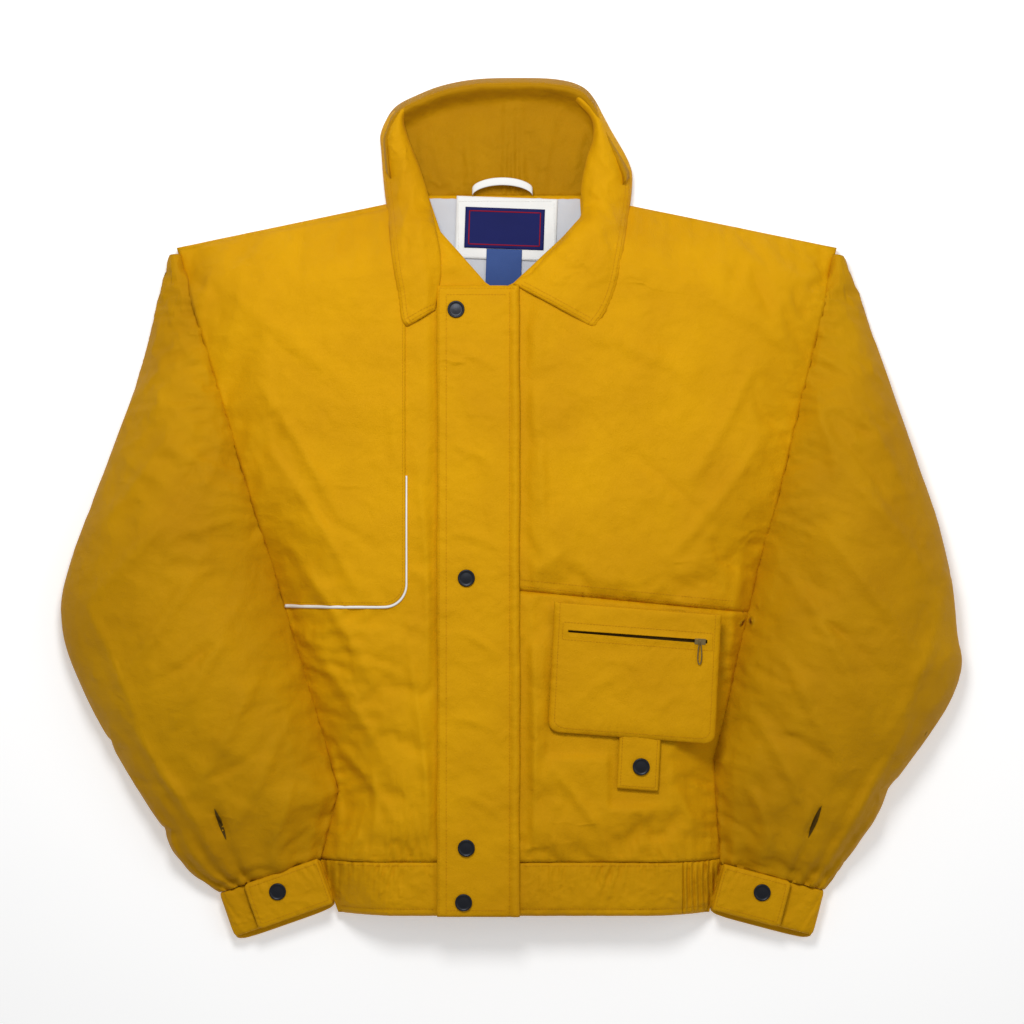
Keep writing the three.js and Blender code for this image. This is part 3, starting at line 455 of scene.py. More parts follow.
# %% Materials
def cloth_material(name, light, dark, roughness=0.62, crease=60.0, strength=0.5, sheen=0.01):
    material = bpy.data.materials.new(name)
    material.use_nodes = True
    tree = material.node_tree
    link = tree.links.new
    shader = tree.nodes["Principled BSDF"]
    shader.inputs["Roughness"].default_value = roughness
    shader.inputs["Sheen Weight"].default_value = sheen
    shader.inputs["Sheen Roughness"].default_value = 0.5
    shader.inputs["Specular IOR Level"].default_value = 0.08
    place = tree.nodes.new("ShaderNodeTexCoord")
    crumple = tree.nodes.new("ShaderNodeGroup")
    crumple.node_tree = CRUMPLE
    crumple.inputs["Crease size"].default_value = crease
    crumple.inputs["Strength"].default_value = strength
    fade = tree.nodes.new("ShaderNodeGroup")
    fade.node_tree = FADE
    tint = tree.nodes.new("ShaderNodeMix")
    tint.data_type = "RGBA"
    tint.inputs["A"].default_value = (*light, 1)
    tint.inputs["B"].default_value = (*dark, 1)
    link(place.outputs["Object"], crumple.inputs["Vector"])
    link(place.outputs["Object"], fade.inputs["Vector"])
    link(fade.outputs["Mask"], tint.inputs["Factor"])
    link(tint.outputs["Result"], shader.inputs["Base Color"])
    link(crumple.outputs["Normal"], shader.inputs["Normal"])
    return material


def metal_material(name, colour, roughness, metallic):
    material = bpy.data.materials.new(name)
    material.use_nodes = True
    tree = material.node_tree
    shader = tree.nodes["Principled BSDF"]
    shader.inputs["Base Color"].default_value = (*colour, 1)
    shader.inputs["Metallic"].default_value = metallic
    place = tree.nodes.new("ShaderNodeTexCoord")
    wear = tree.nodes.new("ShaderNodeGroup")
    wear.node_tree = SCUFFS
    wear.inputs["Roughness"].default_value = roughness
    tree.links.new(place.outputs["Object"], wear.inputs["Vector"])
    tree.links.new(wear.outputs["Roughness"], shader.inputs["Roughness"])
    tree.links.new(wear.outputs["Normal"], shader.inputs["Normal"])
    return material


SHELL = cloth_material("golden_shell", (0.70, 0.350, 0.0), (0.60, 0.285, 0.0), strength=0.9)
# painted shade: the sleeve cloth is the golden shell darkened for the shade on the sloping sleeves, so under other
# light the sleeves look like a darker cloth
SHADED_SLEEVE = cloth_material("golden_sleeve_painted_shade", (0.575, 0.285, 0.0), (0.485, 0.228, 0.0), strength=0.95)
# painted shade: the inner collar cloth is the golden shell darkened for the shade in the recessed collar, so under
# other light it looks like a darker cloth
SHADED_COLLAR = cloth_material("golden_inner_collar_painted_shade", (0.47, 0.225, 0.0), (0.39, 0.18, 0.0), strength=0.95)
BAND = cloth_material("golden_band", (0.68, 0.338, 0.0), (0.58, 0.275, 0.0), crease=110.0, strength=0.9)
GREY = cloth_material("grey_lining", (0.60, 0.61, 0.64), (0.50, 0.51, 0.55), roughness=0.5, crease=30.0, strength=0.4)
WHITE = cloth_material("white_tape", (0.85, 0.85, 0.83), (0.76, 0.76, 0.74), strength=0.25)
NAVY = cloth_material("navy_label", (0.010, 0.014, 0.105), (0.008, 0.011, 0.08), strength=0.2)
RED = cloth_material("red_edging", (0.32, 0.008, 0.02), (0.26, 0.006, 0.016), strength=0.2)
BLUE = cloth_material("blue_care_label", (0.045, 0.09, 0.27), (0.035, 0.07, 0.22), strength=0.2)
THREAD = cloth_material("golden_thread", (0.60, 0.29, 0.003), (0.52, 0.24, 0.003), strength=0.1)
PALE_THREAD = cloth_material("white_thread", (0.80, 0.80, 0.78), (0.72, 0.72, 0.70), strength=0.1)
SNAP = metal_material("black_snap", (0.012, 0.014, 0.020), 0.38, 0.55)
BRASS = metal_material("antique_brass", (0.26, 0.19, 0.08), 0.36, 0.95)
# dark zip tape; the same material is painted shade inside the sleeve slits
DARK_TAPE_AND_SLIT_SHADE = cloth_material("dark_zip_tape_and_slit_shade", (0.10, 0.055, 0.006), (0.07, 0.04, 0.005), crease=300.0, strength=0.4)


def dress(obj, *materials):
    for material in materials:
        obj.data.materials.append(material)
    return obj


def two_faced(obj, grid_count):
    """Outside faces take the first material, the inside the second. Faces of the inside use only
    points after the first grid_count."""
    for face in obj.data.polygons:
        if min(face.vertices) >= grid_count:
            face.material_index = 1
    return obj


def surface_of(*objects):
    """A search tree over the faces of these pieces, for laying other pieces on them."""
    vertices, faces = [], []
    for obj in objects:
        start = len(vertices)
        vertices += [v.co.copy() for v in obj.data.vertices]
        faces += [[start + i for i in p.vertices] for p in obj.data.polygons]
    return BVHTree.FromPolygons(vertices, faces)


def height_on(tree, x, y, otherwise):
    """Height in mm of the surface under each pattern point, or otherwise where there is none."""
    x, y = np.asarray(x, float), np.asarray(y, float)
    spare = np.broadcast_to(np.asarray(otherwise, float), x.shape)
    result = np.empty(x.shape)
    for index in np.ndindex(x.shape):
        start = Vector(((x[index] + shift[0]) * MM, (y[index] + shift[1]) * MM, 0.3))
        hit = tree.ray_cast(start, Vector((0, 0, -1)))[0]
        result[index] = spare[index] if hit is None else hit.z / MM
    return result


# %% [markdown]
# ## The two fronts
# Each front is shell, wadding and lining quilted only at its edges. The wearer's left front has a
# cross seam, so it is cut in two there and the seam's gathers show on both sides of it.

# %% Front panels
def body_grid(side, levels, rows, columns):
    """A front's face. levels are the heights at the side and at the centre of each edge and seam."""
    sign = SIDES[side]["sign"]
    side_y = np.concatenate([np.linspace(a[0], b[0], n, endpoint=False) for a, b, n in zip(levels, levels[1:], rows)]
                            + [[levels[-1][0]]])
    centre_y = np.concatenate([np.linspace(a[1], b[1], n, endpoint=False) for a, b, n in zip(levels, levels[1:], rows)]
                              + [[levels[-1][1]]])
    outer = np.stack([sign * side_reach(side, side_y), side_y], axis=1)
    inner = np.stack([sign * centre_reach(side, centre_y), centre_y], axis=1)
    flat = ruled(outer, inner, columns)
    return np.dstack([flat, face_z(flat[..., 0], flat[..., 1])])


def lie_low(grid, base, x0, x1, y0, y1, margin=14.0, rise=1.0):
    """Keeps cloth flat where another piece lies on it, easing off over the margin."""
    x, y = grid[..., 0], grid[..., 1]
    inside = (ease((x - x0 + margin) / margin) * ease((x1 + margin - x) / margin)
              * ease((y - y0 + margin) / margin) * ease((y1 + margin - y) / margin))
    grid = grid.copy()
    z = np.minimum(grid[..., 2], base + rise)
    grid[..., 2] += inside * (z - grid[..., 2])
    return grid


def edge_pins(rows, columns, seam_rows=(), closed=False):
    pins = np.zeros((rows, columns))
    pins[[0, -1]] = 1
    if not closed:
        pins[:, [0, -1]] = 1
    for row in seam_rows:
        pins[row] = 1
    return pins


LOWER_ROWS, UPPER_ROWS = 74, 96
COLUMNS = 86
right_front = body_grid("right", [(BAND_Y, BAND_Y), (SHOULDER_Y, NECK_Y)], [LOWER_ROWS + UPPER_ROWS], COLUMNS)
left_front = body_grid("left", [(BAND_Y, BAND_Y), (SEAM_SIDE_Y, SEAM_ZIP_Y), (SHOULDER_Y, NECK_Y)],
                       [LOWER_ROWS, UPPER_ROWS], COLUMNS)
fronts = {}
for side, flat in (("right", right_front), ("left", left_front)):
    seams = (LOWER_ROWS,) if side == "left" else ()
    start = flat.copy()
    start[..., 2] += 0.7 * ripple(flat[..., 0], flat[..., 1], 55, 7 if side == "right" else 8)
    pins = edge_pins(*flat.shape[:2], seams)
    start[pins > 0] = flat[pins > 0]
    blown = billow(start, pins, pressure=2.2, grow=0.017, cap=6.5, bending=1.2)
    blown[..., 2] = np.maximum(blown[..., 2], flat[..., 2] - 3.5)
    fronts[side] = blown
    print(side, "front, height change", round(float((blown - flat)[..., 2].min()), 1), "to",
          round(float((blown - flat)[..., 2].max()), 1), "mm")

# %% Seams, folds and flat places of the fronts
def seam_wrinkles(grid, side):
    x, y = grid[..., 0], grid[..., 1]
    reach = side_reach(side, y)
    from_side = reach - np.abs(x)
    z = grid[..., 2]
    z = z + pucker(from_side, y, 31, width=20, pitch=12, height=2.0) * ease(from_side / 5)
    z = z + pucker(y - BAND_Y, x, 32, width=26, pitch=9, height=2.0) * ease((y - BAND_Y) / 5)
    z = z + pucker(shoulder_y(x) - y, x, 33, width=13, pitch=14, height=0.8) * ease((shoulder_y(x) - y) / 5)
    z = z + 0.4 * ripple(x, y, 42, 41, octaves=3) + 1.1 * ripple(x, y, 120, 43, octaves=2)
    z = z + crumple(x, y, 70, 44, 0.9) + crumple(x, y, 38, 45, 0.4) + crumple(x, y, 110, 46, 1.6)
    grid = grid.copy()
    grid[..., 2] = z
    return grid


RIGHT_FOLDS = [((-235, 120), (-150, -20), 7, 2.6), ((-225, 60), (-135, -85), 6, 2.2), ((-215, -20), (-120, -170), 8, 2.6),
               ((-196, -110), (-110, -240), 7, 2.4), ((-185, -190), (-95, -300), 6, 2.0), ((-120, 150), (-105, 10), 6, 1.2),
               ((-88, 60), (-76, -140), 5, 1.6), ((-95, -120), (-75, -310), 6, 2.2), ((-250, 190), (-150, 110), 9, 1.8),
               ((-170, -210), (-160, -315), 5, 2.0), ((-130, -230), (-128, -316), 5, 1.8), ((-205, 10), (-120, -40), 5, -1.4),
               ((-160, -130), (-92, -150), 5, -1.3)]
LEFT_FOLDS = [((230, 150), (160, 20), 8, 2.4), ((240, 80), (140, -50), 7, 2.2), ((215, -20), (190, -200), 7, 2.6),
              ((205, -120), (188, -300), 6, 2.4), ((20, 120), (28, -60), 6, 1.6), ((16, -90), (20, -310), 6, 2.2),
              ((60, 170), (170, 120), 11, 1.8), ((150, 210), (260, 150), 9, 1.6), ((35, -235), (90, -310), 6, 1.8),
              ((150, -250), (170, -316), 5, 1.8), ((120, -262), (118, -318), 5, 1.6), ((100, 60), (200, -30), 6, -1.4)]
for side, folds in (("right", RIGHT_FOLDS), ("left", LEFT_FOLDS)):
    grid = seam_wrinkles(fronts[side], side)
    for start, end, width, height in folds:
        grid = fold(grid, start, end, 0.8 * width, 1.5 * height, bow=4)
    base = face_z(grid[..., 0], grid[..., 1])
    grid = lie_low(grid, base, FLAP_LEFT, 12, HEM_Y, 215, margin=10)
    if side == "left":
        grid = lie_low(grid, base, 36, 190, -222, -86, margin=8, rise=1.5)
        grid = lie_low(grid, base, 94, 142, -268, -200, margin=7, rise=0.8)
        seam = SEAM_ZIP_Y + (SEAM_SIDE_Y - SEAM_ZIP_Y) * np.clip((grid[..., 0] + 6) / 240, 0, 1)
        off = grid[..., 1] - seam
        grid[..., 2] += pucker(off, grid[..., 0], 35, width=12, pitch=12, height=0.9) - 1.6 * np.exp(-((off / 2.2) ** 2))
    grid[..., 2] = np.maximum(grid[..., 2], 11.6)
    fronts[side] = grid

front_objects = {}


def front_piece(name, grid, nodes):
    x, y = grid[..., 0], grid[..., 1]
    under = grid.copy()
    at_seam = np.clip(1 - (face_z(x, y) - EDGE_Z) / 6, 0, 1)
    under[..., 2] = np.maximum(BACK_TOP + 0.6 - 2.0 * at_seam, np.minimum(face_z(x, y) - 10.6, grid[..., 2] - 1.2))
    obj = sheet_object(name, grid, under=under)
    dress(obj, SHELL, GREY)
    two_faced(obj, grid.shape[0] * grid.shape[1])
    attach(obj, "root")
    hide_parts(*nodes)
    front_objects[name] = obj
    return obj


front_piece("front_right_panel", fronts["right"], ["front_right_shell", "front_right_wadding", "front_right_lining"])
front_piece("front_left_lower_panel", fronts["left"][:LOWER_ROWS + 1], ["front_left_lower_shell"])
front_piece("front_left_upper_panel", fronts["left"][LOWER_ROWS:],
            ["front_left_upper_shell", "front_left_wadding", "front_left_lining"])
FRONT_TREE = surface_of(*front_objects.values())
print("fronts made:", sorted(front_objects))

# %% [markdown]
# ## The back
# Under everything lies the back: one padded panel with the lining on its inner face. The lining is
# what shows inside the neck.

# %% Back panel and its lining
def back_grid(rows, columns):
    y_side = np.linspace(BAND_Y, SHOULDER_Y, rows)
    outer = np.stack([-side_reach("right", y_side), y_side], axis=1)
    inner = np.stack([side_reach("left", y_side), y_side], axis=1)
    flat = ruled(outer, inner, columns)
    share = (flat[..., 1] - BAND_Y) / (SHOULDER_Y - BAND_Y)
    flat[..., 1] = BAND_Y + share * (np.minimum(shoulder_y(flat[..., 0]), NECK_Y) - BAND_Y)
    return flat


flat = back_grid(120, 150)
bx, by = flat[..., 0], flat[..., 1]
reach = np.where(bx < 0, side_reach("right", by), side_reach("left", by))
from_edge = np.minimum(np.minimum(reach - np.abs(bx), shoulder_y(bx) - by), by - BAND_Y)
round_off = swell(from_edge / 10)
top = np.dstack([flat, 8.5 + 0.2 * round_off * ripple(bx, by, 40, 51)])
bottom = np.dstack([flat, 5.6 - 5.2 * round_off + 0.35 * (1 + ripple(bx, by, 70, 52)) * round_off])
back = sheet_object("back_panel", top, under=bottom)
dress(back, SHELL)
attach(back, "root")
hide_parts("back_shell", "back_wadding")
lining = np.dstack([flat, np.full(bx.shape, 9.3)])
lining[..., 2] -= 1.6 * np.exp(-from_edge / 3)
throat = np.exp(-(((bx + 6) / 75) ** 2)) * ease((by - 150) / 60)
lining[..., 2] += np.clip(throat * 0.45 * ripple(bx, by, 30, 53), -0.5, 0.5)
lining_obj = sheet_object("back_lining_cloth", lining, thickness=0.5)
dress(lining_obj, GREY)
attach(lining_obj, "root")
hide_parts("back_lining")
print("back panel and lining")

# %% [markdown]
# ## The sleeves
# A sleeve is a padded tube. It is flat where it lies on the table and full in the middle, and its
# head is eased into the armhole, so gathers run along that seam. It tapers into pleats at the cuff.

# %% Sleeve tubes
def sleeve_grid(side, rows, around):
    s = SIDES[side]
    stations = smooth_curve(SLEEVES[side], 400)
    share = np.linspace(0, 1, rows)
    width = np.interp(share, stations[:, 0], stations[:, 1])
    drop = np.interp(share, stations[:, 0], stations[:, 2])
    y = SHOULDER_Y - 6 * (1 - share) - share * SLEEVE_LENGTH[side]
    full = along(((0, 0.1), (0.1, 0.3), (0.25, 0.75), (0.45, 1), (0.7, 1), (0.88, 0.6), (1, 0.08)), share)
    angle = 2 * np.pi * np.arange(around) / around
    u = (1 - np.cos(angle)) / 2
    up = np.sin(angle) > 0
    lobe = np.abs(np.sin(angle))
    grid = np.empty((rows, around, 3))
    tuck = -3.0 * arm_open(y)[:, None] - 2.2 * (1 - arm_open(y)[:, None])
    grid[..., 0] = s["sign"] * (side_reach(side, y)[:, None] + tuck * (1 - u) + u * (width[:, None] + 1))
    grid[..., 1] = y[:, None] - u * drop[:, None]
    above = 9 + 8.6 * lobe**0.6 + 46 * full[:, None] * lobe**1.2
    below = 9 - 8.2 * lobe**0.5
    raise_ = 16 * arm_open(y)[:, None] * (1 - u) ** 4
    near = np.exp(-((np.minimum(angle, 2 * np.pi - angle) / 0.4) ** 2))
    grid[..., 2] = np.where(up, above + raise_, below + 22 * arm_open(y)[:, None] * near)
    grid[:, 0, 2] = 10.5 + 20.5 * arm_open(y)
    return grid, y, share, angle


SLEEVE_ROWS, SLEEVE_AROUND = 170, 120
sleeves = {}
for side in ("right", "left"):
    rest, sleeve_y, share, angle = sleeve_grid(side, SLEEVE_ROWS, SLEEVE_AROUND)
    pins = edge_pins(SLEEVE_ROWS, SLEEVE_AROUND, closed=True)
    pins[:, 0] = 1
    start = rest.copy()
    start[..., 2] += 0.8 * ripple(rest[..., 0], rest[..., 1], 50, 61 if side == "right" else 62) * (np.sin(angle) > 0)
    start[pins > 0] = rest[pins > 0]
    blown = billow(start, pins, pressure=2.0, grow=0.018, cap=6, closed=True, bending=1.2, floor=0.5)
    x, y = blown[..., 0], blown[..., 1]
    up = np.clip(np.sin(angle), 0, 1)[None, :] ** 0.5
    inner_gap = np.abs(x) - side_reach(side, y) - 1
    z = blown[..., 2]
    z = z + up * pucker(inner_gap, y, 65, width=22, pitch=12, height=3.0) * arm_open(y)
    z = z + up * (0.5 * ripple(x, y, 40, 66, octaves=3) + 1.6 * ripple(x, y, 130, 67, octaves=2))
    z = z + up * (crumple(x, y, 75, 68, 1.2) + crumple(x, y, 40, 69, 0.5) + crumple(x, y, 120, 70, 2.2))
    end = ease((share[:, None] - 0.72) / 0.28)
    run = (np.arange(SLEEVE_AROUND) / SLEEVE_AROUND)[None, :]
    pleat = np.sin(run * 2 * np.pi * 15 + 1.5 * share[:, None] * 6 + 1.8 * np.sin(run * 19) + 1.1 * np.sin(share[:, None] * 23))
    z = z + up * end * 2.6 * pleat * (0.7 + 0.3 * np.sin(run * 31 + share[:, None] * 9))
    blown[..., 2] = z
    sleeves[side] = blown
    print(side, "sleeve, crown at", round(float(z.max()), 1), "mm")

SLEEVE_FOLDS = {
    "right": [((-300, 90), (-385, -20), 8, 2.6), ((-290, 30), (-395, -90), 8, 2.8), ((-275, -30), (-370, -170), 8, 3.0),
              ((-240, -60), (-320, -210), 7, 2.8), ((-225, -130), (-300, -270), 7, 3.0), ((-205, -190), (-270, -310), 7, 3.0),
              ((-400, -70), (-330, -230), 7, 2.4), ((-370, -170), (-290, -300), 6, 2.8), ((-330, -230), (-270, -330), 6, 2.6),
              ((-250, 120), (-290, 0), 8, 2.2), ((-200, -240), (-225, -310), 5, 2.6), ((-280, 60), (-340, -30), 5, -1.8),
              ((-250, -100), (-330, -160), 5, -2.0), ((-220, -210), (-290, -250), 5, -2.0)],
    "left": [((300, 120), (370, 0), 8, 2.6), ((290, 50), (390, -70), 8, 2.8), ((285, -20), (380, -150), 8, 3.0),
             ((250, -50), (330, -200), 7, 2.8), ((240, -120), (310, -260), 7, 3.0), ((225, -190), (280, -305), 7, 3.0),
             ((400, -80), (340, -220), 7, 2.4), ((370, -180), (300, -300), 6, 2.8), ((340, -230), (285, -330), 6, 2.6),
             ((262, 150), (300, 20), 8, 2.2), ((215, -250), (240, -315), 5, 2.6), ((290, 80), (350, 0), 5, -1.8),
             ((265, -90), (340, -150), 5, -2.0), ((235, -200), (305, -240), 5, -2.0)],
}


def tube_object(name, grid):
    """A closed tube: the grid's columns run round it, and each end is drawn in and closed."""
    rows, around = grid.shape[:2]
    ends = []
    for row, inside in ((0, 1), (rows - 1, rows - 2)):
        middle = grid[row].mean(axis=0)
        ends.append(middle + 0.35 * (grid[inside].mean(axis=0) - middle))
    vertices = np.vstack([grid.reshape(-1, 3), ends])
    faces = [list(f) for f in grid_faces(rows, around, closed=True)]
    first, last = rows * around, rows * around + 1
    for c in range(around):
        d = (c + 1) % around
        faces.append([first, d, c])
        faces.append([last, (rows - 1) * around + c, (rows - 1) * around + d])
    return make_object(name, vertices, faces)


sleeve_objects = {}
for side in ("right", "left"):
    grid = sleeves[side]
    up = np.clip(np.sin(angle), 0, 1)[None, :] ** 0.5
    flat_z = grid[..., 2].copy()
    for start, end, width, height in SLEEVE_FOLDS[side]:
        grid = fold(grid, start, end, 0.8 * width, 1.6 * height, bow=5)
    slit = {"right": [((-272, -273), (-262, -304)), ((-263, -303), (-242, -350))],
            "left": [((285, -270), (273, -302)), ((274, -300), (254, -346))]}[side]
    for (a, b), width, height in zip(slit, (2.6, 1.9), (-8.0, -3.0)):
        grid = fold(grid, a, b, width, height)
    grid[..., 2] = flat_z + up * (grid[..., 2] - flat_z)
    grid[..., 2] = np.maximum(grid[..., 2], 0.4)
    sleeves[side] = grid
    obj = tube_object(f"sleeve_{side}_tube", grid)
    bpy.context.view_layer.update()
    # painted shade: the sleeve tube takes the darkened sleeve cloth
    dress(obj, SHADED_SLEEVE)
    s = SIDES[side]
    foot, tip = np.array(s["fold"][1][::-1], float), np.array(s["fold"][2][::-1], float)
    foot[0] *= s["sign"]
    tip[0] *= s["sign"]
    line = (tip - foot) / np.linalg.norm(tip - foot)
    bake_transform(obj)
    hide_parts(f"sleeve_{side}_under", f"sleeve_{side}_wadding", f"sleeve_{side}_upper")
    sleeve_objects[side] = obj
print("sleeves made")


# %% Slits above the cuffs, with painted shade laid in them
SLITS = {"right": ((-272.5, -274), (-262.5, -303)), "left": ((285, -271), (274, -301))}
for side, (a, b) in SLITS.items():
    tree = surface_of(sleeve_objects[side])
    a, b = np.array(a), np.array(b)
    across = np.array([-(b - a)[1], (b - a)[0]]) / np.linalg.norm(b - a)
    t = np.linspace(0, 1, 30)[:, None, None]
    w = np.linspace(-1, 1, 7)[None, :, None]
    points = a + (b - a) * t + across * w * (1.9 * np.sin(np.pi * np.clip(t, 0.02, 0.98)) ** 0.8)
    z = height_on(tree, points[..., 0], points[..., 1], 20)
    for axis in (0, 1):
        edged = np.pad(z, 1, mode="edge")
        z = np.max([edged[1:-1, 1:-1]] + ([edged[:-2, 1:-1], edged[2:, 1:-1]] if axis == 0 else [edged[1:-1, :-2], edged[1:-1, 2:]]), axis=0)
    z = z + 0.4
    # painted shade: a dark strip over each slit stands for the shade inside the opening
    slit = sheet_object(f"sleeve_slit_shade_{side}", np.dstack([points, z]), thickness=0.6)
    dress(slit, DARK_TAPE_AND_SLIT_SHADE)
    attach(slit, f"sleeve_{side}")
print("slits made")


# %% [markdown]
# ## Pieces sewn on top
# The chest panel, the storm flap, the pocket and the collar lie on the fronts. The chest panel and the collar's leaves
# are laid on the surface they are sewn to, so they take up that surface's shape, with a little lift of their own.

# %% Chest panel and its piping
CHEST_X, CHEST_Y, CORNER = -97.0, -87.5, 20.0


def edge_distance(grid):
    """How far each point of a grid is from its nearest edge, in mm along the grid."""
    def run(axis):
        step = np.linalg.norm(np.diff(grid, axis=axis), axis=2)
        pad = [(0, 0), (0, 0)]
        pad[axis] = (1, 0)
        there = np.cumsum(np.pad(step, pad), axis=axis)
        total = np.take(there, [-1], axis=axis)
        return np.minimum(there, total - there)
    return np.minimum(run(0), run(1))


def lie_on(tree, x, y, lift_by, otherwise=None, smooth=2):
    """Heights of a piece laid over a surface; a stiff piece bridges its small wrinkles."""
    spare = face_z(x, y) if otherwise is None else otherwise
    z = height_on(tree, x, y, spare)
    for _ in range(smooth):
        padded = np.pad(z, 1, mode="edge")
        z = np.maximum(z, (padded[2:, 1:-1] + padded[:-2, 1:-1] + padded[1:-1, 2:] + padded[1:-1, :-2]) / 4)
    return z + lift_by


def finish_edges(grid, droop, width=1.6):
    """Rounds a sheet's edges down."""
    grid = grid.copy()
    grid[..., 2] -= droop * np.exp(-edge_distance(grid) / width)
    return grid


chest_y = np.concatenate([CHEST_Y + CORNER * (1 - np.cos(np.linspace(0, np.pi / 2, 14, endpoint=False))),
                          np.linspace(CHEST_Y + CORNER, 284, 86)])
over = np.clip((CHEST_Y + CORNER - chest_y) / CORNER, 0, 1)
chest_in = np.stack([CHEST_X - CORNER * (1 - np.sqrt(1 - over**2)), chest_y], axis=1)
side_y = CHEST_Y + (chest_y - CHEST_Y) * (SHOULDER_Y - 2 - CHEST_Y) / (284 - CHEST_Y)
chest_out = np.stack([-side_reach("right", side_y) + 0.5, side_y], axis=1)
flat = ruled(chest_out, chest_in, 64)
chest = np.dstack([flat, lie_on(FRONT_TREE, flat[..., 0], flat[..., 1], 1.5, smooth=1)])
chest[..., 2] += 0.25 * (1 + ripple(flat[..., 0], flat[..., 1], 60, 71))
chest = finish_edges(chest, 0.6)
panel = sheet_object("chest_panel_cloth", chest, thickness=1.1)
dress(panel, SHELL)
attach(panel, "root")
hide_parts("chest_panel")
CHEST_TREE = surface_of(*front_objects.values(), panel)


def tube_along(points, radius, sides=8):
    """A round cord through points, as vertices and faces with closed ends."""
    p = np.asarray(points, float)
    t = np.gradient(p, axis=0)
    t /= np.linalg.norm(t, axis=1, keepdims=True)
    across = np.cross(t, [0, 0, 1])
    across /= np.maximum(np.linalg.norm(across, axis=1, keepdims=True), 1e-9)
    up = np.cross(across, t)
    angle = 2 * np.pi * np.arange(sides) / sides
    radius = np.broadcast_to(radius, len(p))[:, None, None]
    ring = p[:, None] + radius * (np.cos(angle)[None, :, None] * across[:, None] + np.sin(angle)[None, :, None] * up[:, None])
    vertices = np.vstack([ring.reshape(-1, 3), p[:1], p[-1:]])
    count = len(p) * sides
    faces = [list(f) for f in grid_faces(len(p), sides, closed=True)]
    for c in range(sides):
        d = (c + 1) % sides
        faces += [[count, d, c], [count + 1, count - sides + c, count - sides + d]]
    return vertices, faces


turn = np.linspace(0, np.pi / 2, 16)
piping_path = np.vstack([
    np.stack([np.full(50, CHEST_X + 1), np.linspace(32, CHEST_Y + CORNER, 50)], axis=1),
    np.stack([CHEST_X + 1 - CORNER + CORNER * np.cos(turn), CHEST_Y + CORNER - (CORNER + 1) * np.sin(turn)], axis=1)[1:],
    np.stack([np.linspace(CHEST_X - CORNER, -209.5, 50), np.full(50, CHEST_Y - 1)], axis=1)[1:]])
piping_z = height_on(CHEST_TREE, piping_path[:, 0], piping_path[:, 1], FACE)
piping_z = np.convolve(np.pad(piping_z, 3, mode="edge"), np.ones(7) / 7, mode="valid") + 0.9
radius = np.interp(np.arange(len(piping_path)), [0, 48, 66, len(piping_path)], [0.85, 0.95, 1.4, 1.7])
vertices, faces = tube_along(np.column_stack([piping_path, piping_z]), radius)
piping = make_object("chest_piping_cord", vertices, faces)
dress(piping, WHITE)
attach(piping, "root")
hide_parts("chest_piping")
print("chest panel and piping")

# %% [markdown]
# ### Storm flap
# A stitched double strip that covers the zip. It is sewn down along its right-hand ridge and is
# closed by four snaps on the other edge.

# %% Storm flap
flap_y = np.linspace(HEM_Y, VEE_Y - 0.5, 210)
flap_x = np.concatenate([np.linspace(FLAP_LEFT, -2, 27), np.linspace(-0.5, FLAP_RIGHT, 9)])
gx, gy = np.meshgrid(flap_x, flap_y)
edge = 0.7 * np.sin(gy / 37) + 0.4 * np.sin(gy / 13 + 1)
flap = np.dstack([gx + edge * 0.5, gy, np.full(gx.shape, FLAP_TOP)])
ridge = np.exp(-(((gx - 4) / 3.2) ** 2))
rng_wave = pucker(gx - 2, gy, 81, width=9, pitch=8, height=0.5)
flap[..., 2] += 1.7 * ridge * (1 + 0.1 * np.sin(gy / 3.1)) - 1.1 * np.exp(-(((gx + 1.5) / 1.3) ** 2)) + rng_wave
flap[..., 2] += 0.45 * ripple(gx, gy, 34, 82, octaves=3) * (1 - ridge) + 0.4 + crumple(gx, gy, 40, 84, 0.8) * (1 - ridge)
flap[..., 2] += pucker(gx - FLAP_LEFT - 8, gy, 83, width=5, pitch=9, height=0.4)
for start, end, width, height in [((-60, 150), (-10, 128), 4, 0.9), ((-56, 60), (-12, 40), 4, 1.0), ((-58, -20), (-8, -36), 4, 0.8),
                                  ((-54, -110), (-10, -134), 4, 1.0), ((-60, -190), (-12, -204), 4, 0.9),
                                  ((-50, -260), (-10, -280), 4, 1.0), ((-50, 110), (-20, -40), 5, -0.7)]:
    flap = fold(flap, start, end, width, 1.7 * height, bow=3)
flap[..., 2] = np.maximum(flap[..., 2], FLAP_TOP - 0.9)
flap = finish_edges(flap, 1.3, width=1.5)
flap_obj = sheet_object("storm_flap_strip", flap, thickness=2.6)
dress(flap_obj, SHELL)
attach(flap_obj, "storm_flap")
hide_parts("storm_flap")

# %% [markdown]
# ### Pocket
# The flap pocket hangs from the cross seam, turned a little with it. Its zip lies in a slit
# in the flap, and a tab under the flap snaps to the front.

# %% Pocket flap, slit and tab
POCKET_X, POCKET_Y, POCKET_TILT = 38.0, NECK_Y - 377, -0.077
PU, PV = np.array([math.cos(POCKET_TILT), math.sin(POCKET_TILT)]), np.array([0.05, 1.0])


def on_pocket(u, v):
    """Pattern x, y of a point u along and v up (negative is down) from the pocket's top corner."""
    u, v = np.asarray(u, float), np.asarray(v, float)
    return POCKET_X + 2.0 + u * PU[0] + v * PV[0], POCKET_Y + 2.5 + u * PU[1] + v * PV[1]


